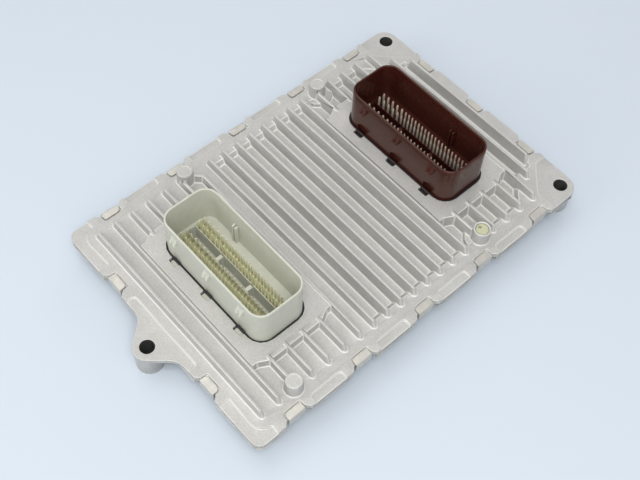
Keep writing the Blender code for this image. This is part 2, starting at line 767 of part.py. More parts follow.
def plateau(x, root):
    """The raised ground round a header, stepped back in the two end pockets."""
    inner = HEADER_SIDE - HEADER_RIB_PITCH + RIB_TOP_WIDTH / 2
    shoulder = inner + PLATEAU_SHOULDER
    upper = [
        (HEADER_SIDE, PLATEAU_END_REACH),
        (shoulder, PLATEAU_END_REACH),
        (inner, PLATEAU_REACH),
        (-inner, PLATEAU_REACH),
        (-shoulder, PLATEAU_END_REACH),
        (-HEADER_SIDE, PLATEAU_END_REACH),
    ]
    top = [(x + u, v) for u, v in upper + mirrored_y(upper)]
    return offset_outline(top, (PLATEAU_TOP - root) * RIB_DRAFT), top, root, PLATEAU_TOP


def recess():
    """The sunken floor from the first fin to the outer ribs; its ends slope up between the ribs."""
    left = FIRST_FIN
    right = BROWN_X + HEADER_SIDE + 2 * OUTER_RIB_STEP
    narrow = PLATEAU_REACH + RIB_TOP_WIDTH / 2
    half_slope = RECESS_DEPTH * RECESS_END_SLOPE / 2
    corner_sum = PAN_CORNER_SUM - RECESS_CORNER_MARGIN
    upper = [
        (right, narrow),
        (corner_sum - narrow, narrow),
        (corner_sum - RECESS_REACH, RECESS_REACH),
        (left, RECESS_REACH),
    ]
    middle = upper + mirrored_y(upper)
    above = FLANGE_TOP + CUT_ROOM
    rise = (above - RECESS_FLOOR) * RECESS_END_SLOPE - half_slope
    floor, opened = [
        [(min(max(x, left), right), y) for x, y in offset_outline(middle, grow)]
        for grow in (-half_slope, rise)
    ]
    return floor, opened, RECESS_FLOOR, above


# Housing
def build_housing(surface):
    """The casting, from the flange outwards."""
    housing = plate("housing", [body_outline(True)], FLANGE_BOTTOM, FLANGE_TOP, PARTS)
    inside = SHEET + 2 * CLEARANCE
    belly_top = FLANGE_BOTTOM + ROOT_EMBED
    add(housing, plate("belly", [pan_outline(-inside)], CEILING_LOW, belly_top))
    foot_radius = FOOT_DIAMETER / 2
    feet = [(x, y, 0.0, belly_top, foot_radius, foot_radius, MOUNT_SIDES) for x, y in MOUNT_HOLES]
    add(housing, drums("feet", feet))
    cut(housing, loft("recess", [recess()]))
    pads = []
    for x, y in BOSS_PLACES:
        if x > FIRST_FIN:
            radius = BOSS_PAD_DIAMETER / 2
            wide = radius + BOSS_PAD_FLARE
            low = RECESS_FLOOR - ROOT_EMBED
            pads.append((x, y, low, FLANGE_TOP - BOSS_PAD_DROP, wide, radius, PAD_SIDES))
    add(housing, drums("boss_pads", pads))
    field_root = FLANGE_TOP - ROOT_EMBED
    recess_root = RECESS_FLOOR - ROOT_EMBED
    add(housing, loft("plateaus", [plateau(GREY_X, field_root), plateau(BROWN_X, recess_root)]))
    add(housing, loft("ribs", all_ribs()))
    base_radius = BOSS_BASE_DIAMETER / 2
    tops = [BOSS_TOP_DIAMETER / 2] * (len(BOSS_PLACES) - 1) + [PLUG_BOSS_TOP_DIAMETER / 2]
    low = RECESS_FLOOR - ROOT_EMBED
    bosses = [
        (x, y, low, BOSS_TOP, base_radius, top_radius, BOSS_SIDES)
        for (x, y), top_radius in zip(BOSS_PLACES, tops)
    ]
    add(housing, drums("bosses", bosses))
    cut(housing, plate("supply_pocket", [supply_pocket()], CEILING_LOW - CUT_ROOM, CEILING_HIGH))
    wells = [header_outline(HEADER_FLANGE_WIDTH + WELL_MARGIN, x) for x, _ in HEADERS.values()]
    cut(housing, plate("header_wells", wells, CEILING_LOW - CUT_ROOM, CEILING_WELL))
    post_radius = POST_DIAMETER / 2
    post_top = RECESS_FLOOR
    posts = [(x, y, SEATED, post_top, post_radius, post_radius, SCREW_SIDES) for x, y in BOSS_PLACES]
    add(housing, drums("posts", posts))
    openings = [
        lugged_outline(HEADER_GAP, LUG_NOTCH_DEPTH, LUG_NOTCH_WIDTH, x)
        for x, _ in HEADERS.values()
    ]
    low = CEILING_WELL - CUT_ROOM
    cut(housing, plate("header_openings", openings, low, RIB_TOP + CUT_ROOM))
    cut(housing, plate("notches", flange_notches(), CEILING_LOW, RIB_TOP))
    cut(housing, plate("tab_seats", tab_seats(), TAB_SEAT, RIB_TOP))
    cut(housing, plate("pads", flange_pads(), PAD_LEVEL, RIB_TOP))
    hole = MOUNT_HOLE_DIAMETER / 2
    holes = [(x, y, -CUT_ROOM, RIB_TOP, hole, hole, MOUNT_SIDES) for x, y in MOUNT_HOLES]
    tapped = SCREW_SHANK_DIAMETER / 2 + CLEARANCE
    for x, y in BOSS_PLACES:
        holes.append((x, y, SEATED - CUT_ROOM, FLANGE_TOP, tapped, tapped, SCREW_SIDES))
    dish = BOSS_DISH_DIAMETER / 2
    dish_floor = BOSS_TOP - BOSS_DISH_DEPTH
    for x, y in BOSS_PLACES[:-1]:
        holes.append((x, y, dish_floor, BOSS_TOP + CUT_ROOM, dish, dish, DISH_SIDES))
    plug_x, plug_y = BOSS_PLACES[-1]
    pocket = PLUG_DIAMETER / 2 + CLEARANCE
    pocket_floor = BOSS_TOP - PLUG_POCKET_DEPTH
    holes.append((plug_x, plug_y, pocket_floor, BOSS_TOP + CUT_ROOM, pocket, pocket, PLUG_SIDES))
    cut(housing, drums("holes", holes))
    dress(housing, surface)


def supply_pocket():
    """The pocket under the ear end, where the tall supply parts stand."""
    inset = SHEET + CASTING_WALL
    right = GREY_LAST_RIB
    left = -PAN_HALF_LENGTH + inset
    half_y = PAN_HALF_WIDTH - inset
    middle = (left + right) / 2
    return rounded_rectangle((right - left) / 2, half_y, PAN_CORNER_RADIUS, middle, 0.0, 3)


# Cover
def build_cover(surface):
    """The pressed pan: a lip under the flange, a drafted pan and the folded tabs."""
    cover = plate("cover", [body_outline(False)], LIP_BOTTOM, LIP_TOP, PARTS)
    half_notch = TAB_NOTCH_MOUTH / 2 - CLEARANCE
    depth = TAB_NOTCH_DEPTH + CLEARANCE
    notch = rectangle(-depth, CUT_ROOM, -half_notch, half_notch)
    notches = [set_out(notch, *place) for place in tab_places()]
    cut(cover, plate("lip_notches", notches, LIP_BOTTOM - CUT_ROOM, LIP_TOP + CUT_ROOM))
    around = FOOT_DIAMETER / 2 + 2 * CLEARANCE
    low = LIP_BOTTOM - CUT_ROOM
    rooms = [(x, y, low, LIP_TOP + CUT_ROOM, around, around, MOUNT_SIDES) for x, y in MOUNT_HOLES]
    cut(cover, drums("foot_rooms", rooms))
    lip_middle = (LIP_BOTTOM + LIP_TOP) / 2
    pan = (pan_outline(-PAN_DRAFT), pan_outline(0.0), PAN_LIFT, lip_middle)
    add(cover, loft("pan", [pan]))
    add(cover, loft("bead", [bead(0.0)]))
    hollow_low = pan_outline(-SHEET - PAN_DRAFT)
    hollow_high = pan_outline(-SHEET)
    cut(cover, loft("pan_hollow", [(hollow_low, hollow_high, PAN_FLOOR, LIP_TOP + CUT_ROOM)]))
    cut(cover, loft("bead_hollow", [bead(SHEET)]))
    add(cover, crimp_tabs())
    dress(cover, surface)


def bead(inner):
    """The pan floor's raised field that stiffens the sheet, inside or outside face."""
    half_x = PAN_HALF_LENGTH - BEAD_INSET
    half_y = PAN_HALF_WIDTH - BEAD_INSET
    wide = rounded_rectangle(half_x, half_y, PAN_CORNER_RADIUS, 0.0, 0.0, 3)
    low = PAN_LIFT - BEAD_HEIGHT + inner
    high = PAN_LIFT + SHEET / 2 + inner
    narrow = offset_outline(wide, -BEAD_HEIGHT - inner)
    return narrow, offset_outline(wide, -inner), low, high


def crimp_tabs():
    """All tabs: each is a bent strip, drawn in profile and extruded, with two round corners."""
    outer = -TAB_NOTCH_DEPTH + CLEARANCE + SHEET
    inner = outer - SHEET
    root = inner - 2 * SHEET
    lap_low = TAB_SEAT + CLEARANCE
    lap_high = lap_low + SHEET
    lap_end = outer - TAB_LAP
    profile = [
        (root, LIP_BOTTOM),
        (outer - TAB_FOLD_CHAMFER, LIP_BOTTOM),
        (outer, LIP_BOTTOM + TAB_FOLD_CHAMFER),
        (outer, lap_high - TAB_FOLD_CHAMFER),
        (outer - TAB_FOLD_CHAMFER, lap_high),
        (lap_end, lap_high),
        (lap_end, lap_low),
        (inner, lap_low),
        (inner, LIP_TOP),
        (root, LIP_TOP),
    ]
    shape = bmesh.new()
    for place in tab_places():
        side = set_out([(u, -TAB_WIDTH / 2) for u, _ in profile], *place)
        verts = [shape.verts.new((x, y, z)) for (x, y), (_, z) in zip(side, profile)]
        face = shape.faces.new(verts)
        raised = bmesh.ops.extrude_face_region(shape, geom=[face])["geom"]
        moved = [item for item in raised if isinstance(item, bmesh.types.BMVert)]
        across = set_out([(0.0, TAB_WIDTH)], 0.0, 0.0, place[-1])[0]
        bmesh.ops.translate(shape, verts=moved, vec=(*across, 0.0))
    lap = [round(lap_low, 6), round(lap_high, 6)]
    corners = [
        edge
        for edge in shape.edges
        if sorted(round(vert.co.z, 6) for vert in edge.verts) == lap
    ]
    bmesh.ops.bevel(
        shape, geom=corners, offset=TAB_CORNER_RADIUS, segments=2, profile=0.5, affect="EDGES"
    )
    bmesh.ops.recalc_face_normals(shape, faces=shape.faces)
    mesh = bpy.data.meshes.new("crimp_tabs")
    shape.to_mesh(mesh)
    shape.free()
    return finish_object("crimp_tabs", mesh, CUTTERS)


def build_cover_seal(surface):
    """The bead of sealant that lies on the cover's lip."""
    inner = pan_outline(COVER_SEAL_INSET)
    outer = pan_outline(COVER_SEAL_INSET + COVER_SEAL_WIDTH)
    low = LIP_TOP + CLEARANCE
    seal = plate("cover_seal", [outer, inner], low, FLANGE_BOTTOM - CLEARANCE, PARTS)
    dress(seal, surface)


# Headers
def pin_rows():
    """Offsets of the four rows from a header's middle."""
    return (-PIN_ROW_OUTER, -PIN_ROW_INNER, PIN_ROW_INNER, PIN_ROW_OUTER)


def pin_stations():
    """Places of the power pins and of the signal pins along a header."""
    power_span = (POWER_PIN_COUNT - 1) * POWER_PIN_PITCH
    signal_span = (SIGNAL_PIN_COUNT - 1) * SIGNAL_PIN_PITCH
    first = PIN_FIELD_SHIFT + (power_span + PIN_GROUP_GAP + signal_span) / 2
    power = [first - index * POWER_PIN_PITCH for index in range(POWER_PIN_COUNT)]
    next_first = power[-1] - PIN_GROUP_GAP
    signal = [next_first - index * SIGNAL_PIN_PITCH for index in range(SIGNAL_PIN_COUNT)]
    return power, signal


def spine_pockets(x):
    """Three pockets in a row down the middle, with a bridge between each two."""
    half = SPINE_WIDTH / 2 - SPINE_WALL
    ends = SPINE_LENGTH / 2 - SPINE_WALL
    pocket = (2 * ends - 2 * BRIDGE_WIDTH) / 3
    low = HEADER_FLOOR_TOP - WELL_DEPTH
    high = HEADER_FLOOR_TOP + SPINE_HEIGHT + CUT_ROOM
    places = []
    for index in range(3):
        start = PIN_FIELD_SHIFT - ends + index * (pocket + BRIDGE_WIDTH)
        places.append(((x - half, start, low), (x + half, start + pocket, high)))
    return places


def build_header(name, x, key_y, surface):
    """A header: outer wall, sealed flange, hollow skirt, floor with its moulded-in pins."""
    header = plate(name, [header_outline(0.0, x)], SEATED, HEADER_RIM, PARTS)
    flange_low = HEADER_FLANGE_TOP - HEADER_FLANGE_THICKNESS
    flange = header_outline(HEADER_FLANGE_WIDTH, x)
    add(header, plate(name + "_flange", [flange], flange_low, HEADER_FLANGE_TOP))
    add(header, latch_bumps(name + "_latches", x))
    mating = header_outline(-HEADER_WALL, x)
    cut(header, plate(name + "_mating", [mating], HEADER_FLOOR_TOP, HEADER_RIM + CUT_ROOM))
    cut(header, plate(name + "_skirt", [mating], SEATED - CUT_ROOM, HEADER_FLOOR_BOTTOM))
    inner_wall = x + HEADER_WIDTH / 2 - HEADER_WALL
    root = HEADER_FLOOR_TOP - ROOT_EMBED
    spine_end = SPINE_LENGTH / 2
    spine = (
        (x - SPINE_WIDTH / 2, PIN_FIELD_SHIFT - spine_end, root),
        (x + SPINE_WIDTH / 2, PIN_FIELD_SHIFT + spine_end, HEADER_FLOOR_TOP + SPINE_HEIGHT),
    )
    key = []
    for low_y in (key_y - KEY_SLOT / 2 - KEY_WIDTH, key_y + KEY_SLOT / 2):
        low = (inner_wall - KEY_REACH, low_y, root)
        high = (inner_wall + HEADER_WALL / 2, low_y + KEY_WIDTH, HEADER_FLOOR_TOP + KEY_HEIGHT)
        key.append((low, high))
    add(header, boxes(name + "_spine_and_key", [spine, *key]))
    outer_wall = x - HEADER_WIDTH / 2
    niches = []
    for y in LUG_PLACES:
        low = (outer_wall - CUT_ROOM, y - NICHE_WIDTH / 2, PLATEAU_TOP - NICHE_RISE / 2)
        high = (outer_wall + NICHE_DEPTH, y + NICHE_WIDTH / 2, PLATEAU_TOP + NICHE_RISE)
        niches.append((low, high))
    cut(header, boxes(name + "_pockets", spine_pockets(x) + niches))
    power, signal = pin_stations()
    for kind, stations, size in (
        ("power", power, POWER_PIN_SIZE),
        ("signal", signal, SIGNAL_PIN_SIZE),
    ):
        places = [(x + row, y, 0.0) for row in pin_rows() for y in stations]
        add(header, copies(name + "_" + kind + "_pins", pin_mesh(size), places))
    dress(header, surface)


def latch_bumps(name, x):
    """Three ramps near the rim that the plug's lever catches."""
    wall = x - HEADER_WIDTH / 2
    high = HEADER_RIM - LATCH_DROP
    low = high - LATCH_HEIGHT
    half = LATCH_WIDTH / 2
    blocks = []
    for y in LUG_PLACES:
        inside = wall + HEADER_WALL / 2
        base = rectangle(wall - LATCH_REACH, inside, y - half, y + half)
        top = rectangle(wall - LATCH_TOP_REACH, inside, y - half, y + half)
        blocks.append((base, top, low, high))
    return loft(name, blocks)


def pin_mesh(size):
    """One pin: a slender drafted blade above the header's floor and a square leg below it."""
    tip = size * PIN_TAPER / 2
    half = size / 2
    middle = (HEADER_FLOOR_TOP + HEADER_FLOOR_BOTTOM) / 2
    parts = (
        (half, tip, middle, FLANGE_TOP + PIN_TIP_HEIGHT),
        (half, half, SEATED, middle - CLEARANCE),
    )
    shape = bmesh.new()
    quarter = Matrix.Rotation(math.radians(45.0), 3, "Z")
    for low_half, high_half, low, high in parts:
        made = bmesh.ops.create_cone(
            shape,
            cap_ends=True,
            segments=4,
            radius1=low_half * math.sqrt(2),
            radius2=high_half * math.sqrt(2),
            depth=high - low,
        )["verts"]
        bmesh.ops.rotate(shape, verts=made, matrix=quarter)
        bmesh.ops.translate(shape, verts=made, vec=(0.0, 0.0, (low + high) / 2))
    mesh = bpy.data.meshes.new("pin")
    shape.to_mesh(mesh)
    shape.free()
    return mesh


def build_header_seal(name, x, surface):
    """The black bead round a header: a foot on the header's flange and a lip in the gap."""
    inner = header_outline(CLEARANCE, x)
    foot = header_outline(CLEARANCE + SEAL_FOOT_WIDTH, x)
    seal = plate(name, [foot, inner], SEAL_FOOT_BOTTOM, SEAL_FOOT_TOP, PARTS)
    lip_grow = HEADER_GAP - CLEARANCE
    lug_width = LUG_NOTCH_WIDTH - 2 * CLEARANCE
    lip = lugged_outline(lip_grow, LUG_NOTCH_DEPTH, lug_width, x)
    low = SEAL_FOOT_BOTTOM + SEAL_FOOT_THICKNESS / 2
    add(seal, plate(name + "_lip", [lip, inner], low, PLATEAU_TOP - SEAL_DROP))
    dress(seal, surface)


def build_plug(surface):
    """The pale plug in one boss, with a small dimple in its middle."""
    low = BOSS_TOP - PLUG_POCKET_DEPTH + CLEARANCE
    high = low + PLUG_THICKNESS
    radius = PLUG_DIAMETER / 2
    dimple = PLUG_DIMPLE_DIAMETER / 2
    profile = [
        (0.0, high - PLUG_DIMPLE_DEPTH),
        (dimple, high - PLUG_DIMPLE_DEPTH),
        (dimple, high),
        (radius - PLUG_CHAMFER, high),
        (radius, high - PLUG_CHAMFER),
        (radius, low),
        (0.0, low),
    ]
    mesh = turned_mesh("boss_plug", profile, PLUG_SIDES)
    x, y = BOSS_PLACES[-1]
    dress(copies("boss_plug", mesh, [(x, y, 0.0)], PARTS), surface)


# Circuit board
def build_board(surface):
    """The board, drilled for its screws."""
    outline = pan_outline(-BOARD_EDGE_GAP)
    board = plate("circuit_board", [outline], BOARD_BOTTOM, BOARD_TOP, PARTS)
    radius = SCREW_SHANK_DIAMETER / 2 + CLEARANCE
    low = BOARD_BOTTOM - CUT_ROOM
    holes = [(x, y, low, BOARD_TOP + CUT_ROOM, radius, radius, SCREW_SIDES) for x, y in BOSS_PLACES]
    cut(board, drums("board_holes", holes))
    dress(board, surface)


def build_screws(surface):
    """The screws, driven from below through the board into the bosses."""
    head_top = BOARD_BOTTOM - CLEARANCE
    head_bottom = head_top - SCREW_HEAD_HEIGHT
    shank = SCREW_SHANK_DIAMETER / 2
    head = SCREW_HEAD_DIAMETER / 2
    recess_radius = SCREW_RECESS_DIAMETER / 2
    profile = [
        (0.0, head_top + SCREW_LENGTH),
        (shank, head_top + SCREW_LENGTH),
        (shank, head_top),
        (head, head_top),
        (head, head_bottom + SCREW_CHAMFER),
        (head - SCREW_CHAMFER, head_bottom),
        (recess_radius, head_bottom),
        (recess_radius, head_bottom + SCREW_RECESS_DEPTH),
        (0.0, head_bottom + SCREW_RECESS_DEPTH),
    ]
    mesh = turned_mesh("board_screw", profile, SCREW_SIDES)
    for number, (x, y) in enumerate(BOSS_PLACES, 1):
        dress(copies(f"board_screw_{number}", mesh, [(x, y, 0.0)], PARTS), surface)


def on_board(x, y, size_x, size_y, height):
    """The box of a part that stands on the board."""
    low = (x - size_x / 2, y - size_y / 2, SEATED)
    return low, (x + size_x / 2, y + size_y / 2, SEATED + height)


def even_row(middle, pitch, count):
    """Places of an even row about its middle."""
    return [middle + (index - (count - 1) / 2) * pitch for index in range(count)]


def build_electronics(package, can, ceramic, pad):
    """Chips and supply parts on the board, and the pads that take their heat away."""
    middle = (GREY_X + BROWN_X) / 2
    power_y = POWER_DRIVER_INSET - PAN_HALF_WIDTH
    drivers = [
        on_board(x, power_y, *POWER_DRIVER_SIZE, CHIP_HEIGHT)
        for x in even_row(middle, POWER_DRIVER_PITCH, POWER_DRIVER_COUNT)
    ]
    signal_y = PAN_HALF_WIDTH - SIGNAL_DRIVER_INSET
    small = [
        on_board(x, signal_y, *SIGNAL_DRIVER_SIZE, CHIP_HEIGHT)
        for x in even_row(middle, SIGNAL_DRIVER_PITCH, SIGNAL_DRIVER_COUNT)
    ]
    free_low = power_y + POWER_DRIVER_SIZE[1] / 2
    free_high = signal_y - SIGNAL_DRIVER_SIZE[1] / 2
    half_pair = (CONTROLLER_SIZE + FLASH_SPACING + FLASH_SIZE[1]) / 2
    pair_y = (free_low + free_high) / 2
    controller_y = pair_y + half_pair - CONTROLLER_SIZE / 2
    flash_y = pair_y - half_pair + FLASH_SIZE[1] / 2
    controller = on_board(middle, controller_y, CONTROLLER_SIZE, CONTROLLER_SIZE, CHIP_HEIGHT)
    flash = on_board(middle, flash_y, *FLASH_SIZE, CHIP_HEIGHT)
    supply_x = SUPPLY_ROW_INSET - PAN_HALF_LENGTH
    regulator = on_board(supply_x, REGULATOR_Y, *REGULATOR_SIZE, CHIP_HEIGHT)
    choke = on_board(supply_x, CHOKE_Y, CHOKE_SIZE, CHOKE_SIZE, CHOKE_HEIGHT)
    capacitors = []
    for index in range(CAPACITOR_COUNT):
        y = FIRST_CAPACITOR_Y - index * CAPACITOR_PITCH
        capacitors.append(on_board(supply_x, y, *CAPACITOR_SIZE, CAPACITOR_HEIGHT))
    crystal_x = middle + CONTROLLER_SIZE / 2 + CRYSTAL_SIZE[0]
    crystal = on_board(crystal_x, controller_y, *CRYSTAL_SIZE, CRYSTAL_HEIGHT)
    pads = []
    for low, high in [controller, *drivers]:
        corner = (low[0] + THERMAL_PAD_INSET, low[1] + THERMAL_PAD_INSET, THERMAL_PAD_BOTTOM)
        end = (high[0] - THERMAL_PAD_INSET, high[1] - THERMAL_PAD_INSET)
        pads.append((corner, (*end, THERMAL_PAD_BOTTOM + THERMAL_PAD_THICKNESS)))
    for name, places, surface in (
        ("microcontroller", [controller], package),
        ("flash_memory", [flash], package),
        ("power_driver", drivers, package),
        ("signal_driver", small, package),
        ("voltage_regulator", [regulator], package),
        ("storage_choke", [choke], ceramic),
        ("smoothing_capacitor", capacitors, ceramic),
        ("clock_crystal", [crystal], can),
        ("thermal_pad", pads, pad),
    ):
        for number, place in enumerate(places, 1):
            numbered = name if len(places) == 1 else f"{name}_{number}"
            dress(boxes(numbered, [place], PARTS), surface)


def build():
    """Makes every piece of the unit."""
    casting = material("cast_alloy", (0.58, 0.57, 0.54), 0.48, 0.75)
    sheet = material("plated_sheet", (0.72, 0.71, 0.66), 0.35, 0.9)
    black = material("sealant", (0.012, 0.012, 0.013), 0.6)
    grey = material("grey_plastic", (0.42, 0.44, 0.38), 0.5)
    brown = material("brown_plastic", (0.075, 0.022, 0.018), 0.38)
    cream = material("plug_cream", (0.55, 0.57, 0.40), 0.55)
    laminate = material("board_laminate", (0.02, 0.11, 0.05), 0.45)
    steel = material("screw_steel", (0.55, 0.55, 0.56), 0.35, 1.0)
    package = material("chip_package", (0.02, 0.02, 0.022), 0.55)
    can = material("crystal_can", (0.6, 0.6, 0.6), 0.3, 1.0)
    ceramic = material("supply_parts", (0.08, 0.07, 0.06), 0.6)
    pad = material("heat_pad", (0.45, 0.50, 0.55), 0.8)
    build_housing(casting)
    build_cover(sheet)
    build_cover_seal(black)
    build_board(laminate)
    build_screws(steel)
    build_electronics(package, can, ceramic, pad)
    build_plug(cream)
    for prefix, plastic in (("grey", grey), ("brown", brown)):
        x, key_y = HEADERS[prefix]
        build_header(prefix + "_header", x, key_y, plastic)
        build_header_seal(prefix + "_header_seal", x, black)


build()
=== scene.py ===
# %% [markdown]
# # An engine control unit, from its solid model to a finished picture
# The unit is a flat die-cast box with cooling ribs on its back. A sheet cover closes it from below, and
# the cover's tabs are folded over the casting's edge. Two tall headers stand out of it, full of pins.
# This lesson loads the solid model as a fixed frame, keeps the solids whose shape is already right, and
# makes finer surfaces for the ones that come close to the eye. All lengths are in metres.

# %% Load the solid model
import math

import bmesh
import bpy
import numpy as np
from mathutils import Matrix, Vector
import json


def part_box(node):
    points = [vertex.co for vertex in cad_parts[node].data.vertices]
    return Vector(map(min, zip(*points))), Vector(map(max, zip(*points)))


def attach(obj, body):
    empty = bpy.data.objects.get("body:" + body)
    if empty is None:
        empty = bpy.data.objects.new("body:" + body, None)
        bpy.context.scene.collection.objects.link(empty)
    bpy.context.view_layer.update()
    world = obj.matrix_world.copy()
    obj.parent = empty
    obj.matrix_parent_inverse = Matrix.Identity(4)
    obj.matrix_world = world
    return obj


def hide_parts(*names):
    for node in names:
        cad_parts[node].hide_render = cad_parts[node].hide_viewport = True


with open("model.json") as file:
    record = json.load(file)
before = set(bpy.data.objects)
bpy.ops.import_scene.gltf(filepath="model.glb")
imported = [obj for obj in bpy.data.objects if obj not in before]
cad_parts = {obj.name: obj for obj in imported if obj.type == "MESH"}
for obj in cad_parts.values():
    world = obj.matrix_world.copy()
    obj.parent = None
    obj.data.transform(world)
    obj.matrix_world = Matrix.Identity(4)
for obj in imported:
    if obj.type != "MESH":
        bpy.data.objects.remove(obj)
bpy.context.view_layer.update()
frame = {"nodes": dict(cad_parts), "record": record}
nodes = frame["nodes"]

# %% [markdown]
# ## The camera
# A photograph taken by hand can be matched by a camera with three angles, a place and a focal length.
# They could be dragged into place by eye. Here they were worked out from the unit's own sharp corners,
# so that the camera is right to a pixel. The roll is the small tilt of the hands that held the camera.

# %% Camera at the photograph's place
CAMERA_AZIMUTH = math.radians(44.80)
CAMERA_ELEVATION = math.radians(57.76)
CAMERA_ROLL = math.radians(3.62)
CAMERA_PLACE = (-0.18028, -0.18223, 0.40158)
SENSOR_WIDTH = 36.0
FOCAL_LENGTH = 56.44

lens = bpy.data.cameras.new("photo_camera")
lens.sensor_width = SENSOR_WIDTH
lens.lens = FOCAL_LENGTH
lens.clip_start = 0.01
camera = bpy.data.objects.new("photo_camera", lens)
tilt = math.pi / 2 - CAMERA_ELEVATION
bpy.context.scene.collection.objects.link(camera)


def turn_about(axis, angle):
    """The 3 by 3 matrix of a turn about one axis: cosine and sine fill the other two rows."""
    c = math.cos(angle)
    s = math.sin(angle)
    if axis == "X":
        return np.array([[1, 0, 0], [0, c, -s], [0, s, c]])
    return np.array([[c, -s, 0], [s, c, 0], [0, 0, 1]])


turned = turn_about("Z", -CAMERA_AZIMUTH) @ turn_about("X", tilt) @ turn_about("Z", CAMERA_ROLL)
placed = np.eye(4)
placed[:3, :3] = turned
placed[:3, 3] = CAMERA_PLACE
camera.matrix_world = Matrix(placed.tolist())
bpy.context.scene.camera = camera
print("camera looks along", np.round(-turned[:, 2], 3))

# %% [markdown]
# ## Floor and light
# Bare metal shows whatever stands around it, so the light matters as much as the material. A broad panel
# overhead and a stronger one high in front give the ribs their bright tops. Two low panels at the sides
# separate the two flanks of each rib, one in front lightens the shadows, and a pale sky fills the rest.
# The floor is a plain pale sheet.

# %% Floor
FLOOR_SIZE = 6.0
FLOOR_COLOUR = (0.56, 0.62, 0.70)

floor_mesh = bpy.data.meshes.new("floor")
half = FLOOR_SIZE / 2
floor_corners = [(-half, -half, 0.0), (half, -half, 0.0), (half, half, 0.0), (-half, half, 0.0)]
floor_mesh.from_pydata(floor_corners, [], [(0, 1, 2, 3)])
floor = bpy.data.objects.new("floor", floor_mesh)
bpy.context.scene.collection.objects.link(floor)
paper = bpy.data.materials.new("backdrop_paper")
paper.use_nodes = True
paper_shader = paper.node_tree.nodes["Principled BSDF"]
paper_shader.inputs["Base Color"].default_value = (*FLOOR_COLOUR, 1.0)
paper_shader.inputs["Roughness"].default_value = 0.9
floor_mesh.materials.append(paper)


# %% Light
LIGHTS = [
    ("overhead", (0.0, 0.40, 1.10), 0.8, 2.8, (1.0, 0.98, 0.94)),
    ("high_front", (-0.30, -0.34, 0.90), 0.6, 5.8, (1.0, 0.99, 0.95)),
    ("left_window", (-0.90, 0.30, 0.42), 0.5, 2.3, (1.0, 0.99, 0.95)),
    ("right_window", (0.90, 0.45, 0.40), 0.5, 1.3, (1.0, 0.99, 0.95)),
    ("front_fill", (-0.55, -0.90, 0.60), 0.8, 1.6, (1.0, 0.99, 0.96)),
]
SKY_COLOUR = (0.93, 0.95, 0.97)
SKY_STRENGTH = 0.5


def softbox(name, place, size, power, colour):
    """A square light panel that faces the origin: its local Z points away from there."""
    data = bpy.data.lights.new(name, "AREA")
    data.shape = "SQUARE"
    data.size = size
    data.energy = power
    data.color = colour
    panel = bpy.data.objects.new(name, data)
    away = np.array(place) / np.linalg.norm(place)
    side = np.cross((0.0, 0.0, 1.0), away)
    side = side / np.linalg.norm(side)
    matrix = np.eye(4)
    matrix[:3, 0] = side
    matrix[:3, 1] = np.cross(away, side)
    matrix[:3, 2] = away
    matrix[:3, 3] = place
    panel.matrix_world = Matrix(matrix.tolist())
    bpy.context.scene.collection.objects.link(panel)


for light in LIGHTS:
    softbox(*light)

sky = bpy.data.worlds.new("studio")
sky.use_nodes = True
background = sky.node_tree.nodes["Background"]
background.inputs["Color"].default_value = (*SKY_COLOUR, 1.0)
background.inputs["Strength"].default_value = SKY_STRENGTH
bpy.context.scene.world = sky
bpy.context.scene.view_settings.view_transform = "Standard"

# %% [markdown]
# ## Small tools for surfaces
# Every new surface below is a grid: one parameter runs along it, the other across, and a formula turns
# the two into a point. The formulas work on whole arrays, so a wall of ten thousand points takes a
# moment. The tools here wrap a grid in faces, put pieces together and hand them to Blender.


# %% Grids, blocks and pieces
BLOCK_CORNER_STEPS = 4
DOUBLES_REACH = 0.000002
SHADING_ANGLE = 35.0


def grid_quads(rows, columns, closed=False):
    """Corner numbers of the quads of a grid; a closed grid also joins its last column to its first."""
    last = columns if closed else columns - 1
    row, column = np.meshgrid(np.arange(rows - 1), np.arange(last), indexing="ij")
    after = (column + 1) % columns
    corners = [row * columns + column, row * columns + after]
    corners += [(row + 1) * columns + after, (row + 1) * columns + column]
    return np.stack(corners, axis=-1).reshape(-1, 4)


def together(parts):
    """Several (points, quads) pairs as one: each pair's corner numbers move past the ones before."""
    points = []
    quads = []
    start = 0
    for part_points, part_quads in parts:
        points.append(part_points)
        quads.append(part_quads + start)
        start += len(part_points)
    return np.concatenate(points), np.concatenate(quads)


def repeated(part, places):
    """One (points, quads) pair at each place: the points plus the place, for all places at once."""
    points, quads = part
    places = np.asarray(places, float)
    moved = places[:, None, :] + points[None, :, :]
    numbers = quads[None, :, :] + (np.arange(len(places)) * len(points))[:, None, None]
    return moved.reshape(-1, 3), numbers.reshape(-1, 4)


def rounded_ring(half_x, half_y, radius, inset, steps, marks=()):
    """Points round a rectangle with round corners, anticlockwise from the +X side, all at one inset.

    Each corner keeps its own centre and its radius shrinks by the inset. Marks are extra places along
    Y on the two long sides. It gives the points and their outward directions."""
    inner_x = half_x - radius
    inner_y = half_y - radius
    marks = np.sort(np.asarray(marks, float))
    turn = np.linspace(0.0, math.pi / 2, steps + 1)
    points = []
    outward = []
    for quarter, (side_x, side_y) in enumerate(((1, 1), (-1, 1), (-1, -1), (1, -1))):
        angle = turn + quarter * math.pi / 2
        facing = np.stack([np.cos(angle), np.sin(angle)], axis=-1)
        centre = np.array([side_x * inner_x, side_y * inner_y])
        points.append(centre + facing * (radius - inset))
        outward.append(facing)
        if quarter in (1, 3) and len(marks):
            along = marks[::-1] if quarter == 1 else marks
            side = -1.0 if quarter == 1 else 1.0
            edge = np.full(len(along), side * (half_x - inset))
            points.append(np.stack([edge, along], axis=-1))
            outward.append(np.tile([side, 0.0], (len(along), 1)))
    return np.concatenate(points), np.concatenate(outward)


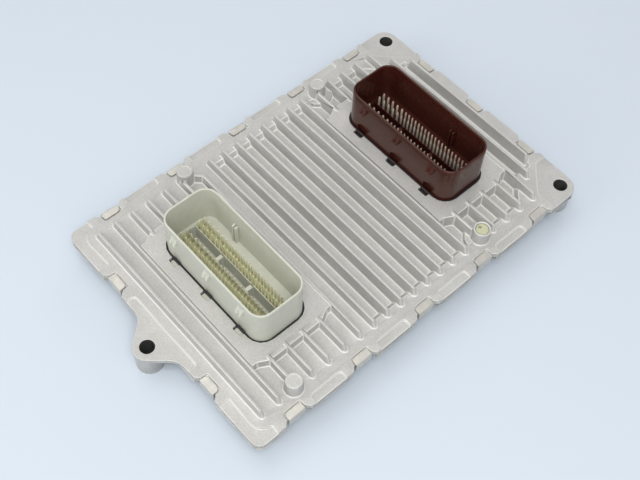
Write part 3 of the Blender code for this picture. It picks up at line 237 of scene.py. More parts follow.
def block(half_x, half_y, radius, low, high, edge):
    """An upright block with round corners and a round upper edge.

    The side goes straight up to the edge, a quarter circle brings it in by the edge's radius, and the
    last ring closes on the middle of the top."""
    turn = np.linspace(0.0, math.pi / 2, 4)
    insets = [0.0, *(edge * (1 - np.cos(turn)))]
    heights = [low, *(high - edge + edge * np.sin(turn))]
    rings = []
    for inset, height in zip(insets, heights):
        ring, _ = rounded_ring(half_x, half_y, radius, inset, BLOCK_CORNER_STEPS)
        rings.append(np.column_stack([ring, np.full(len(ring), height)]))
    rings.append(np.tile([0.0, 0.0, high], (len(rings[0]), 1)))
    points = np.concatenate(rings)
    return points, grid_quads(len(rings), len(rings[0]), closed=True)


def smooth_step(value, start, end):
    """0 before start, 1 after end, and between them the S-curve 3t squared minus 2t cubed."""
    t = np.clip((value - start) / (end - start), 0.0, 1.0)
    return t * t * (3 - 2 * t)


def make_piece(name, part, material, replaces=()):
    """Puts a (points, quads) pair in a mesh, merges its doubles and lets it ride on the unit."""
    points, quads = part
    mesh = bpy.data.meshes.new(name)
    mesh.vertices.add(len(points))
    mesh.vertices.foreach_set("co", np.ascontiguousarray(points, np.float32).ravel())
    mesh.loops.add(quads.size)
    mesh.loops.foreach_set("vertex_index", np.ascontiguousarray(quads, np.int32).ravel())
    mesh.polygons.add(len(quads))
    mesh.polygons.foreach_set("loop_start", np.arange(0, quads.size, 4, dtype=np.int32))
    mesh.update(calc_edges=True)
    mesh.validate()
    shape = bmesh.new()
    shape.from_mesh(mesh)
    bmesh.ops.remove_doubles(shape, verts=shape.verts, dist=DOUBLES_REACH)
    shape.to_mesh(mesh)
    shape.free()
    settle(bpy.data.objects.new(name, mesh), material, replaces)


def settle(piece, material, replaces=()):
    """Gives a piece its material and smooth shading, and lets it ride on the unit's only body."""
    bpy.context.scene.collection.objects.link(piece)
    piece.data.materials.clear()
    piece.data.materials.append(material)
    piece.data.shade_smooth()
    piece.data.set_sharp_from_angle(angle=math.radians(SHADING_ANGLE))
    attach(piece, "root")
    if replaces:
        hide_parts(*replaces)
    print(piece.name, len(piece.data.polygons), "faces")
    return piece


# %% [markdown]
# ## Finishes
# A material here is a small network on Blender's Principled shader. Whatever is the same all over goes
# straight on the shader. What changes from place to place, such as grain, comes from noise that reads
# the object's own coordinates in metres, so its scale is a real size.


# %% Building blocks of a finish
NOISE_LOW = 0.3
NOISE_HIGH = 0.7


def new_finish(name, colour, roughness, metallic=0.0):
    """A material with its Principled shader set to one colour, roughness and metallic value."""
    made = bpy.data.materials.new(name)
    made.use_nodes = True
    shader = made.node_tree.nodes["Principled BSDF"]
    shader.inputs["Base Color"].default_value = (*colour, 1.0)
    shader.inputs["Roughness"].default_value = roughness
    shader.inputs["Metallic"].default_value = metallic
    return made, shader


def object_place(material):
    """The output that gives a point's place on the object, in metres."""
    coordinates = material.node_tree.nodes.new("ShaderNodeTexCoord")
    return coordinates.outputs["Object"]


def noise(material, place, size, detail=2.0, roughness=0.5):
    """Noise whose blotches are about one size across, in metres."""
    texture = material.node_tree.nodes.new("ShaderNodeTexNoise")
    texture.inputs["Scale"].default_value = 1.0 / size
    texture.inputs["Detail"].default_value = detail
    texture.inputs["Roughness"].default_value = roughness
    material.node_tree.links.new(place, texture.inputs["Vector"])
    return texture.outputs["Fac"]


def crystals(material, place, size):
    """A pattern of small flat cells, each with its own grey, like grains of sand-blasted metal."""
    texture = material.node_tree.nodes.new("ShaderNodeTexVoronoi")
    texture.inputs["Scale"].default_value = 1.0 / size
    material.node_tree.links.new(place, texture.inputs["Vector"])
    return texture.outputs["Color"]


def between(material, amount, low, high):
    """A number that goes from low to high over the range that noise mostly stays in."""
    scale = material.node_tree.nodes.new("ShaderNodeMapRange")
    scale.inputs["From Min"].default_value = NOISE_LOW
    scale.inputs["From Max"].default_value = NOISE_HIGH
    scale.inputs["To Min"].default_value = low
    scale.inputs["To Max"].default_value = high
    material.node_tree.links.new(amount, scale.inputs["Value"])
    return scale.outputs["Result"]


def blend_colours(material, amount, first, second):
    """A colour that goes from the first to the second over the range that noise mostly stays in."""
    ramp = material.node_tree.nodes.new("ShaderNodeValToRGB")
    ramp.color_ramp.elements[0].position = NOISE_LOW
    ramp.color_ramp.elements[1].position = NOISE_HIGH
    ramp.color_ramp.elements[0].color = (*first, 1.0)
    ramp.color_ramp.elements[1].color = (*second, 1.0)
    material.node_tree.links.new(amount, ramp.inputs["Fac"])
    return ramp.outputs["Color"]


def speckle(material, colour, grey, share):
    """A colour made lighter and darker by a grey pattern, by a share of itself."""
    mix = material.node_tree.nodes.new("ShaderNodeMix")
    mix.data_type = "RGBA"
    mix.blend_type = "OVERLAY"
    mix.inputs["Factor"].default_value = share
    black_white = material.node_tree.nodes.new("ShaderNodeRGBToBW")
    material.node_tree.links.new(grey, black_white.inputs["Color"])
    material.node_tree.links.new(colour, mix.inputs["A"])
    material.node_tree.links.new(black_white.outputs["Val"], mix.inputs["B"])
    return mix.outputs["Result"]


def raise_grain(material, shader, heights):
    """Bumps laid over each other: each is a height output, how strong it is and its depth in metres."""
    normal = None
    for height, strength, depth in heights:
        bump = material.node_tree.nodes.new("ShaderNodeBump")
        bump.inputs["Strength"].default_value = strength
        bump.inputs["Distance"].default_value = depth
        material.node_tree.links.new(height, bump.inputs["Height"])
        if normal is not None:
            material.node_tree.links.new(normal, bump.inputs["Normal"])
        normal = bump.outputs["Normal"]
    material.node_tree.links.new(normal, shader.inputs["Normal"])


# %% [markdown]
# ### Cast alloy
# A die casting comes out of its mould with a fine matt skin and is then blasted, which leaves grains of
# about a third of a millimetre. Each grain tilts its own way, so the surface glitters faintly. A wider,
# weaker noise stands for the flow marks of the metal.


# %% The casting's finish
BLOTCH_SIZE = 0.012
FLOW_SIZE = 0.006
PORE_SIZE = 0.0006
GRAIN_SIZE = 0.00032


def make_cast_alloy(name):
    """Warm grey metal with grains, slight blotches and an uneven roughness.

    It gives the material, its shader and the output for roughness, for a finish that adds to them."""
    material, shader = new_finish(name, (0.485, 0.479, 0.465), 0.58, 0.3)
    place = object_place(material)
    blotch = noise(material, place, BLOTCH_SIZE, 4.0, 0.6)
    fine = noise(material, place, PORE_SIZE, 3.0, 0.7)
    grain = crystals(material, place, GRAIN_SIZE)
    colour = blend_colours(material, blotch, (0.46, 0.454, 0.44), (0.51, 0.504, 0.49))
    colour = speckle(material, colour, grain, 0.14)
    rough = between(material, fine, 0.48, 0.62)
    material.node_tree.links.new(colour, shader.inputs["Base Color"])
    material.node_tree.links.new(rough, shader.inputs["Roughness"])
    waves = noise(material, place, FLOW_SIZE, 2.0)
    bumps = [(waves, 0.25, 0.0002), (grain, 0.35, 0.00005), (fine, 0.3, 0.00008)]
    raise_grain(material, shader, bumps)
    return material, shader, rough


CAST_ALLOY = make_cast_alloy("cast_alloy")[0]

# %% [markdown]
# ### Worn edges and painted corner highlights
# Handling and blasting rub the skin off a casting's outer edges first, so each rib carries two thin
# bright lines. The rounded foot of a rib and every other inner corner are painted pale, a painted
# highlight where a fillet would catch the light. The finish follows the shape: an attribute on the mesh
# is 1 on outer edges and 0 in inner corners. The outer edges are smoother and shine, the inner corners
# carry the painted highlight, and a noise makes the lines uneven.

# %% The finish of worn edges and painted corner highlights
# The inner tone is a painted highlight in the inner corners; the outer tone is rubbed metal.
CORNER_HIGHLIGHT_TONE = (0.70, 0.695, 0.675)
OUTER_TONE = (0.51, 0.505, 0.487)
WORN_SMOOTHING = 0.14
WEAR_SIZE = 0.004


def make_worn_and_highlight_alloy():
    """The cast alloy's grain, with a painted highlight in inner corners and smoother outer edges."""
    material, shader, rough = make_cast_alloy("worn_and_highlight_alloy")
    nodes_here = material.node_tree.nodes
    links = material.node_tree.links
    wear_vs_highlight = nodes_here.new("ShaderNodeAttribute")
    wear_vs_highlight.attribute_name = "wear_vs_highlight"
    uneven = between(material, noise(material, object_place(material), WEAR_SIZE, 3.0), 0.55, 1.0)
    amount = nodes_here.new("ShaderNodeMath")
    amount.operation = "MULTIPLY"
    links.new(wear_vs_highlight.outputs["Fac"], amount.inputs[0])
    links.new(uneven, amount.inputs[1])
    brighter = nodes_here.new("ShaderNodeMix")
    brighter.data_type = "RGBA"
    brighter.inputs["A"].default_value = (*CORNER_HIGHLIGHT_TONE, 1.0)
    brighter.inputs["B"].default_value = (*OUTER_TONE, 1.0)
    links.new(amount.outputs["Value"], brighter.inputs["Factor"])
    links.new(brighter.outputs["Result"], shader.inputs["Base Color"])
    smoother = nodes_here.new("ShaderNodeMath")
    smoother.operation = "MULTIPLY_ADD"
    smoother.inputs[1].default_value = -WORN_SMOOTHING
    links.new(amount.outputs["Value"], smoother.inputs[0])
    links.new(rough, smoother.inputs[2])
    links.new(smoother.outputs["Value"], shader.inputs["Roughness"])
    return material


WORN_AND_HIGHLIGHT_ALLOY = make_worn_and_highlight_alloy()

# %% [markdown]
# ### Plated sheet
# The cover is pressed from thin sheet. Where its tabs are folded, the plating is stretched and shows a
# paler, creamier tone with soft marks from the folding tool.


# %% The cover's finish
STRETCH_SIZE = 0.005
STREAK_SIZE = 0.0015
DENT_SIZE = 0.0022


def make_plated_sheet():
    """Bright, slightly creamy metal with soft rolling streaks."""
    material, shader = new_finish("plated_sheet", (0.55, 0.54, 0.50), 0.40, 0.6)
    place = object_place(material)
    wide = noise(material, place, STRETCH_SIZE, 3.0, 0.6)
    colour = blend_colours(material, wide, (0.51, 0.50, 0.465), (0.62, 0.60, 0.55))
    material.node_tree.links.new(colour, shader.inputs["Base Color"])
    rough = between(material, noise(material, place, STREAK_SIZE, 3.0), 0.32, 0.48)
    material.node_tree.links.new(rough, shader.inputs["Roughness"])
    dents = noise(material, place, DENT_SIZE, 2.0)
    raise_grain(material, shader, [(dents, 0.3, 0.00015)])
    return material


PLATED_SHEET = make_plated_sheet()

# %% [markdown]
# ### Moulded plastics
# Both headers are glass-filled plastic. The mould's spark-eroded face leaves a very fine matt texture,
# and the filler shows as a faint mottling. The brown one is the glossier of the two outside.


# %% The plastics
MOTTLE_SIZE = 0.004
SKIN_SIZE = 0.0003


def make_plastic(name, colour, mottled, roughness, depth, sheen=(1.0, 1.0, 1.0)):
    """A moulded plastic: mottled between two close colours, with a fine texture of one depth.

    The sheen is the tint of its reflections."""
    material, shader = new_finish(name, colour, roughness)
    shader.inputs["Specular Tint"].default_value = (*sheen, 1.0)
    place = object_place(material)
    tint = blend_colours(material, noise(material, place, MOTTLE_SIZE, 4.0, 0.6), colour, mottled)
    material.node_tree.links.new(tint, shader.inputs["Base Color"])
    skin = noise(material, place, SKIN_SIZE, 2.0)
    rough = between(material, skin, roughness - 0.05, roughness + 0.06)
    material.node_tree.links.new(rough, shader.inputs["Roughness"])
    raise_grain(material, shader, [(skin, 0.25, depth)])
    return material


WARM_SHEEN = (1.0, 0.80, 0.66)
BROWN_TONES = ((0.038, 0.0078, 0.0058), (0.052, 0.0118, 0.0085))
GREY_PLASTIC = make_plastic("grey_plastic", (0.51, 0.515, 0.445), (0.55, 0.555, 0.485), 0.38, 0.00003)
BROWN_PLASTIC = make_plastic("brown_plastic", *BROWN_TONES, 0.22, 0.00002, WARM_SHEEN)
CREAM_PLASTIC = make_plastic("plug_cream", (0.40, 0.41, 0.25), (0.50, 0.51, 0.36), 0.45, 0.00005)

# %% [markdown]
# ### Rubber, pins and the parts inside
# The seals are near black and dull. The pins are yellowish in one header and pale in the other, and in
# both a painted shade darkens them towards the foot and a painted highlight lightens the tip. The walls
# of the screw holes carry a painted shade. The parts on the board are hidden in the closed unit, but each
# still gets the finish it has.


# %% The other finishes
SHADE_FADE_START = 0.0180
SHADE_FADE_END = 0.0256


def make_grained(name, colour, second, roughness, metallic, size, depth):
    """A plain finish with two close colours and a light grain of one size."""
    material, shader = new_finish(name, colour, roughness, metallic)
    place = object_place(material)
    tint = blend_colours(material, noise(material, place, size * 6, 3.0), colour, second)
    material.node_tree.links.new(tint, shader.inputs["Base Color"])
    raise_grain(material, shader, [(noise(material, place, size, 2.0), 0.3, depth)])
    return material


def make_pin_metal_with_painted_shade(name, foot, tip, roughness, metallic):
    """Plated pins: a painted shade at the foot fades to a painted highlight at the tip between two heights.
    """
    material, shader = new_finish(name, tip, roughness, metallic)
    height = material.node_tree.nodes.new("ShaderNodeSeparateXYZ")
    material.node_tree.links.new(object_place(material), height.inputs["Vector"])
    rise = material.node_tree.nodes.new("ShaderNodeMapRange")
    rise.inputs["From Min"].default_value = SHADE_FADE_START
    rise.inputs["From Max"].default_value = SHADE_FADE_END
    material.node_tree.links.new(height.outputs["Z"], rise.inputs["Value"])
    fade = material.node_tree.nodes.new("ShaderNodeMix")
    fade.data_type = "RGBA"
    fade.inputs["A"].default_value = (*foot, 1.0)
    fade.inputs["B"].default_value = (*tip, 1.0)
    material.node_tree.links.new(rise.outputs["Result"], fade.inputs["Factor"])
    material.node_tree.links.new(fade.outputs["Result"], shader.inputs["Base Color"])
    return material


SEALANT = make_grained("sealant", (0.010, 0.011, 0.013), (0.020, 0.021, 0.024), 0.6, 0.0, 0.0006, 0.00008)
# Both pin finishes paint shade at the foot and a highlight at the tip.
BRASS_PINS = make_pin_metal_with_painted_shade("brass_pins", (0.42, 0.39, 0.20), (0.95, 0.93, 0.70), 0.32, 0.5)
TIN_PINS = make_pin_metal_with_painted_shade("tin_pins", (0.30, 0.19, 0.12), (1.0, 0.90, 0.76), 0.30, 0.3)
# Both dark sheets between the pins are painted shade; the olive one also paints the brass pins' reflected
# light.
OLIVE_PIN_SHADE = make_grained("olive_pin_shade", (0.40, 0.40, 0.24), (0.48, 0.48, 0.30), 0.40, 0.0, 0.0008, 0.00006)
BROWN_PIN_SHADE = make_grained(
    "brown_pin_shade", (0.012, 0.004, 0.003), (0.020, 0.007, 0.005), 0.35, 0.0, 0.0008, 0.00006
)
LAMINATE = make_grained("board_laminate", (0.02, 0.11, 0.05), (0.025, 0.14, 0.06), 0.4, 0.0, 0.0008, 0.00005)
SCREW_STEEL = make_grained("screw_steel", (0.55, 0.55, 0.56), (0.62, 0.62, 0.63), 0.32, 1.0, 0.0005, 0.00003)
CHIP_PACKAGE = make_grained(
    "chip_package", (0.02, 0.02, 0.022), (0.03, 0.03, 0.032), 0.5, 0.0, 0.0003, 0.00003
)
CRYSTAL_CAN = make_grained("crystal_can", (0.6, 0.6, 0.6), (0.68, 0.68, 0.67), 0.3, 1.0, 0.0006, 0.00002)
SUPPLY_PARTS = make_grained(
    "supply_parts", (0.08, 0.07, 0.06), (0.11, 0.09, 0.07), 0.55, 0.0, 0.0004, 0.00004
)
# The bores' dark finish is painted shade, where the screw holes lie in shadow.
BORE_PAINTED_SHADE = make_grained(
    "bore_painted_shade", (0.045, 0.046, 0.044), (0.075, 0.076, 0.072), 0.6, 0.0, 0.0006, 0.00005
)
HEAT_PAD = make_grained("heat_pad", (0.45, 0.50, 0.55), (0.50, 0.55, 0.60), 0.8, 0.0, 0.0008, 0.00006)
print("finishes:", len(bpy.data.materials))

# %% [markdown]
# ## Casting and cover
# The solid casting already has every rib, pad and boss in its true place, but its edges are knife-sharp.
# A real casting has small radii everywhere, because metal doesn't flow round a sharp corner. A copy of
# the solid is merged into clean faces, and a Bevel modifier rounds its outer edges by one small radius
# and fills its inner corners by a larger one. That is quicker and truer than drawing the casting again.
# Where the strip beside an edge is narrow, its radius shrinks, so that no two bevels meet.

# %% Sizes of the rounding
CAST_RADIUS = 0.00032
ROOT_RADIUS = 0.0005
SHEET_RADIUS = 0.00025
SHARP_TURN = 20.0
ROOM_SHARE = 0.4
FLAT_TURN = 0.5
DOWNWARD = -0.9
UPRIGHT = 0.1
BORE_REACH = 0.0040
POINT_REACH = 0.00002
SLIVER_REACH = 0.00008
CUT_REACH = 0.000001


# %% Whole faces and their edges
def merged_copy(name, node):
    """A copy of a solid with its doubles merged and its coplanar triangles joined into whole faces.

    The copy is first cut along its middle, and the cut stays as a seam, because a face as wide as the
    casting with every rib as a hole would be filled wrongly. The faces that look straight down stay
    triangles, because the underside is one wide ring that would close on itself."""
    mesh = nodes[node].data.copy()
    mesh.name = name
    shape = bmesh.new()
    shape.from_mesh(mesh)
    bmesh.ops.remove_doubles(shape, verts=shape.verts, dist=POINT_REACH)
    bmesh.ops.dissolve_degenerate(shape, edges=shape.edges, dist=POINT_REACH)
    whole = [*shape.verts, *shape.edges, *shape.faces]
    middle = bmesh.ops.bisect_plane(shape, geom=whole, dist=CUT_REACH, plane_no=(0.0, 1.0, 0.0))
    for part in middle["geom_cut"]:
        if isinstance(part, bmesh.types.BMEdge):
            part.seam = True
    flat = math.radians(FLAT_TURN)
    upper = [edge for edge in shape.edges if any(face.normal.z > DOWNWARD for face in edge.link_faces)]
    bmesh.ops.dissolve_limit(shape, angle_limit=flat, verts=shape.verts, edges=upper, delimit={"SEAM"})
    bmesh.ops.remove_doubles(shape, verts=shape.verts, dist=SLIVER_REACH)
    shape.to_mesh(mesh)
    shape.free()
    return bpy.data.objects.new(name, mesh)


def edges_with_faces(mesh):
    """For each edge between two faces: its number, its two ends, its two faces and its length.

    It also gives how many degrees the surface turns there, and whether the edge is an outer one, which
    it is if the cross product of its faces' normals points the way the first face runs along it."""
    edge_of = np.empty(len(mesh.loops), np.int32)
    corner_of = np.empty(len(mesh.loops), np.int32)
    first_loop = np.empty(len(mesh.polygons), np.int32)
    sides = np.empty(len(mesh.polygons), np.int32)
    normals = np.empty(len(mesh.polygons) * 3)
    points = np.empty(len(mesh.vertices) * 3)
    mesh.loops.foreach_get("edge_index", edge_of)
    mesh.loops.foreach_get("vertex_index", corner_of)
    mesh.polygons.foreach_get("loop_start", first_loop)
    mesh.polygons.foreach_get("loop_total", sides)
    mesh.polygons.foreach_get("normal", normals)
    mesh.vertices.foreach_get("co", points)
    normals = normals.reshape(-1, 3)
    points = points.reshape(-1, 3)
    face_of = np.repeat(np.arange(len(sides)), sides)
    following = np.arange(len(edge_of)) + 1
    following[first_loop + sides - 1] = first_loop
    order = np.argsort(edge_of, kind="stable")
    shared_by = np.bincount(edge_of, minlength=len(mesh.edges))
    one, other = order[shared_by[edge_of[order]] == 2].reshape(-1, 2).T
    ends = np.stack([corner_of[one], corner_of[following[one]]])
    along = points[ends[1]] - points[ends[0]]
    faces = np.stack([face_of[one], face_of[other]])
    one_normal = normals[faces[0]]
    other_normal = normals[faces[1]]
    turned = np.degrees(np.arccos(np.clip((one_normal * other_normal).sum(axis=1), -1, 1)))
    outer = (np.cross(one_normal, other_normal) * along).sum(axis=1) > 0
    return edge_of[one], ends, faces, np.linalg.norm(along, axis=1), turned, outer


def mark_edges(mesh, outer_radius, inner_radius):
    """Writes how far each sharp edge is rounded, where the casting wears and where a highlight is painted.

    A radius is at most a share of the strip beside the edge, whose width is its area over the edge's
    length. The wear mask is 1 at corners where only outer edges meet, for wear, and 0 where an inner
    edge comes in, for a painted highlight."""
    edge, ends, faces, length, turned, outer = edges_with_faces(mesh)
    areas = np.empty(len(mesh.polygons))
    mesh.polygons.foreach_get("area", areas)
    room = areas[faces].min(axis=0) / np.maximum(length, 1e-9)
    sharp = turned > SHARP_TURN
    radius = np.minimum(np.where(outer, outer_radius, inner_radius), ROOM_SHARE * room)
    share = np.zeros(len(mesh.edges), np.float32)
    share[edge[sharp]] = radius[sharp] / max(outer_radius, inner_radius)
    wear_vs_highlight = np.zeros(len(mesh.vertices), np.float32)
    wear_vs_highlight[ends[:, sharp & outer]] = 1.0
    wear_vs_highlight[ends[:, sharp & ~outer]] = 0.0
    mesh.attributes.new("bevel_weight_edge", "FLOAT", "EDGE").data.foreach_set("value", share)
    mesh.attributes.new("wear_vs_highlight", "FLOAT", "POINT").data.foreach_set("value", wear_vs_highlight)
    print(mesh.name, "sharp edges:", int(sharp.sum()), "of them outer:", int((sharp & outer).sum()))


def soften(piece, radius, segments, edge_material=None):
    """Rounds the marked edges with a Bevel modifier, whose new faces can take a second material."""
    bevel = piece.modifiers.new("rounded_edges", "BEVEL")
    bevel.width = radius
    bevel.segments = segments
    bevel.limit_method = "WEIGHT"
    bevel.use_clamp_overlap = False
    bevel.miter_outer = "MITER_ARC"
    bevel.harden_normals = True
    if edge_material is not None:
        piece.data.materials.append(edge_material)
        bevel.material = len(piece.data.materials) - 1


def paint_bore_shade(piece, material):
    """Gives the painted shade finish to the upright faces round the axis of each screw hole."""
    piece.data.materials.append(material)
    last = len(piece.data.materials) - 1
    for opening in frame["record"]["physics"]["openings"]:
        if not opening["name"].endswith("screw_hole"):
            continue
        low, high = np.array(opening["box_m"])
        axis = (low + high) / 2
        count = 0
        for face in piece.data.polygons:
            away = math.hypot(face.center.x - axis[0], face.center.y - axis[1])
            if away < BORE_REACH and abs(face.normal.z) < UPRIGHT:
                face.material_index = last
                count += 1
        print(opening["name"], "stained faces:", count)


# %% Rounded copies of the casting and the cover
casting = settle(merged_copy("ribbed_casting", "housing"), CAST_ALLOY, ["housing"])
# The walls of the screw holes get the painted shade.
paint_bore_shade(casting, BORE_PAINTED_SHADE)
# These marks give wear to the outer edges and a painted highlight to the inner corners.
mark_edges(casting.data, CAST_RADIUS, ROOT_RADIUS)
soften(casting, max(CAST_RADIUS, ROOT_RADIUS), 2, WORN_AND_HIGHLIGHT_ALLOY)

sheet_cover = settle(merged_copy("pressed_cover", "cover"), PLATED_SHEET, ["cover"])
mark_edges(sheet_cover.data, SHEET_RADIUS, SHEET_RADIUS)
soften(sheet_cover, SHEET_RADIUS, 2)

# %% [markdown]
# ## The headers
# A header is a rounded box, open at the top, whose wall grows from 1.0 mm at the rim to 1.4 mm at the
# floor. The wall is one surface: a profile that climbs the outside, turns over the rim and goes down the
# inside, carried round a rounded rectangle. Three latch ramps and three niches on one long side are added
# as a displacement of that surface, which keeps their edges as soft as a mould leaves them.

# %% Header sizes, worked out from the solids
WALL_BASE = 0.0136
NICHE_BASE = 0.0165
CORNER_STEPS = 12
HEADER_FLANGE = 0.0024
HEADER_WALL = 0.0014
RIM_WALL = 0.0010
HEADER_RADIUS = 0.0070
HEADER_FLOOR = 0.0195
RIM_RADIUS = 0.0004
LATCH_PLACES = np.array([0.0223, 0.0, -0.0223])
LATCH_HALF_WIDTH = 0.0019
LATCH_LOW = 0.0332
LATCH_HIGH = 0.0368
LATCH_REACH = 0.0020
LATCH_GROOVE = 0.0004
NICHE_HALF_WIDTH = 0.0026
NICHE_TOP = 0.0236
NICHE_POINT = 0.0006
NICHE_SLOPE = 0.7
NICHE_DEPTHS = {"grey": 0.0005, "brown": 0.00115}
RELIEF_SOFT = 0.0001


def header_measures(node):
    """The header's middle, half sizes and rim height, from the solid's box less its hidden flange."""
    low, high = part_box(node)
    middle = (low + high) / 2
    half_x = (high.x - low.x) / 2 - HEADER_FLANGE
    half_y = (high.y - low.y) / 2 - HEADER_FLANGE
    return middle, half_x, half_y, high.z


for node in ("grey_header", "brown_header"):
    print(node, [round(value, 5) for value in header_measures(node)[1:]])


# %% Latch ramps and niches as a displacement
def wall_relief(along, height, niche_depth):
    """How far the latch side stands out at a place along it and a height.

    A latch is a box in both directions with soft edges, times a ramp that falls from its full reach at
    the lower edge to nothing at the upper edge, and dips a little along its middle. A niche is a
    soft box under two sloping lines that meet in a point, and goes inwards."""
    relief = np.zeros(np.broadcast(along, height).shape)
    soft = RELIEF_SOFT
    for place in LATCH_PLACES:
        away = np.abs(along - place)
        across = 1 - smooth_step(away, LATCH_HALF_WIDTH - soft, LATCH_HALF_WIDTH + soft)
        upright = smooth_step(height, LATCH_LOW - soft, LATCH_LOW + soft)
        upright = upright * (1 - smooth_step(height, LATCH_HIGH - soft, LATCH_HIGH + soft))
        ramp = np.clip(1 - (height - LATCH_LOW) / (LATCH_HIGH - LATCH_LOW), 0, 1)
        groove = 0.7 + 0.3 * smooth_step(away, LATCH_GROOVE, LATCH_GROOVE + 2 * soft)
        relief = relief + LATCH_REACH * across * upright * ramp * groove
        inside = 1 - smooth_step(away, NICHE_HALF_WIDTH - soft, NICHE_HALF_WIDTH + soft)
        arch = NICHE_TOP - NICHE_SLOPE * np.maximum(away - NICHE_POINT, 0)
        below = 1 - smooth_step(height, arch - soft, arch + soft)
        relief = relief - niche_depth * inside * below
    return relief


def fine_places(centres, half):
    """Close-set places on both edges of a feature, and a few across its middle."""
    edge = np.linspace(-1.6 * RELIEF_SOFT, 1.6 * RELIEF_SOFT, 4)
    offsets = np.concatenate([half + edge, -half - edge, np.linspace(-half, half, 13)[1:-1]])
    return (np.asarray(centres)[:, None] + offsets[None, :]).ravel()


# %% The header's wall
def header_wall(half_x, half_y, rim, niche_depth):
    """The wall's surface: rows of one height and inset each, carried round the rounded rectangle.

    The rows climb the outer face, follow half a circle over the rim and go down the inner face, which
    leans so that the wall grows thicker downwards. On the latch side the relief is added along the
    outward direction."""
    side_marks = np.linspace(-(half_y - HEADER_RADIUS), half_y - HEADER_RADIUS, 14)[1:-1]
    marks = np.concatenate([
        side_marks,
        fine_places(LATCH_PLACES, LATCH_HALF_WIDTH),
        fine_places(LATCH_PLACES, NICHE_HALF_WIDTH),
    ])
    outer_rows = np.unique(np.concatenate([
        [WALL_BASE, WALL_BASE + 0.004],
        np.linspace(NICHE_BASE, NICHE_TOP + 0.0003, 18),
        np.linspace(NICHE_TOP + 0.001, LATCH_LOW - 0.0004, 4),
        np.linspace(LATCH_LOW - 0.0002, LATCH_LOW + 0.0002, 5),
        np.linspace(LATCH_LOW + 0.001, LATCH_HIGH - 0.0006, 6),
        np.linspace(LATCH_HIGH - 0.0002, LATCH_HIGH + 0.0002, 5),
        [rim - RIM_RADIUS],
    ]))
    turn = np.linspace(0.0, math.pi / 2, 5)
    over_z = rim - RIM_RADIUS + RIM_RADIUS * np.sin(turn)
    over_inset = RIM_RADIUS * (1 - np.cos(turn))
    heights = np.concatenate([outer_rows, over_z[1:], over_z[::-1], [HEADER_FLOOR - 0.0005]])
    insets = np.concatenate([
        np.zeros(len(outer_rows)),
        over_inset[1:],
        RIM_WALL - over_inset[::-1],
        [HEADER_WALL],
    ])
    rings = []
    for height, inset in zip(heights, insets):
        ring, outward = rounded_ring(half_x, half_y, HEADER_RADIUS, inset, CORNER_STEPS, marks)
        if inset == 0.0:
            on_side = outward[:, 0] < -0.999
            ring = ring + outward * (on_side * wall_relief(ring[:, 1], height, niche_depth))[:, None]
        rings.append(np.column_stack([ring, np.full(len(ring), height)]))
    return np.concatenate(rings), grid_quads(len(rings), len(rings[0]), closed=True)


# %% [markdown]
# ### The floor between the pins
# The floor is a height field, a height for each point of a grid. Down its middle runs a low spine: two
# thin walls with three wells between them and two bridges across. Each step up or down is an S-curve a
# tenth of a millimetre wide, so the grid needs close lines only there. Towards the round corners of the
# header the grid narrows with the wall.

# %% Floor sizes
FIELD_SHIFT = 0.0006
SPINE_HALF_WIDTH = 0.0026
SPINE_WALL = 0.0005
SPINE_TOP = 0.0210
SPINE_HALF_LENGTH = 0.0301
WELL_FLOOR = 0.0122
BRIDGE_TOP = 0.0198
TROUGH_DEPTH = 0.0007
TROUGH_INNER = 0.0027
TROUGH_OUTER = 0.0073
TROUGH_HALF_LENGTH = 0.0306
BRIDGE_HALF_WIDTH = 0.0010
NOTCH_HALF_WIDTH = 0.0006
BRIDGE_OFF = 0.01017
BRIDGE_PLACES = (FIELD_SHIFT - BRIDGE_OFF, FIELD_SHIFT + BRIDGE_OFF)
FLOOR_SOFT = 0.00006
FLOOR_TUCK = 0.0004
FLOOR_STEP = 0.00008
FLOOR_MARGIN = 0.0002


def floor_heights(x, y):
    """The height field: floor, plus the spine's soft box, less the wells that are cut into it.

    The pins stand in a shallow trough on each side of the spine. The bridges fill the wells up to their
    own level, and each has a slot in the wall beside it."""
    soft = FLOOR_SOFT
    from_middle = np.abs(y - FIELD_SHIFT)
    on_spine = 1 - smooth_step(np.abs(x), SPINE_HALF_WIDTH - soft, SPINE_HALF_WIDTH + soft)
    on_spine = on_spine * (1 - smooth_step(from_middle, SPINE_HALF_LENGTH - soft, SPINE_HALF_LENGTH + soft))
    inner_x = SPINE_HALF_WIDTH - SPINE_WALL
    inner_y = SPINE_HALF_LENGTH - SPINE_WALL
    in_well = 1 - smooth_step(np.abs(x), inner_x - soft, inner_x + soft)
    in_well = in_well * (1 - smooth_step(from_middle, inner_y - soft, inner_y + soft))
    past_end = smooth_step(from_middle, TROUGH_HALF_LENGTH - soft, TROUGH_HALF_LENGTH + soft)
    in_trough = smooth_step(np.abs(x), TROUGH_INNER - soft, TROUGH_INNER + soft)
    in_trough = in_trough * (1 - smooth_step(np.abs(x), TROUGH_OUTER - soft, TROUGH_OUTER + soft))
    in_trough = in_trough * (1 - past_end)
    height = HEADER_FLOOR - TROUGH_DEPTH * in_trough + (SPINE_TOP - HEADER_FLOOR) * on_spine
    height = height + (WELL_FLOOR - height) * in_well
    for place in BRIDGE_PLACES:
        away = np.abs(y - place)
        on_bridge = 1 - smooth_step(away, BRIDGE_HALF_WIDTH - soft, BRIDGE_HALF_WIDTH + soft)
        height = height + (BRIDGE_TOP - height) * on_bridge * in_well
        in_notch = 1 - smooth_step(away, NOTCH_HALF_WIDTH - soft, NOTCH_HALF_WIDTH + soft)
        in_notch = in_notch * on_spine * smooth_step(x, inner_x - soft, inner_x + soft)
        height = height + (WELL_FLOOR - height) * in_notch
    return height


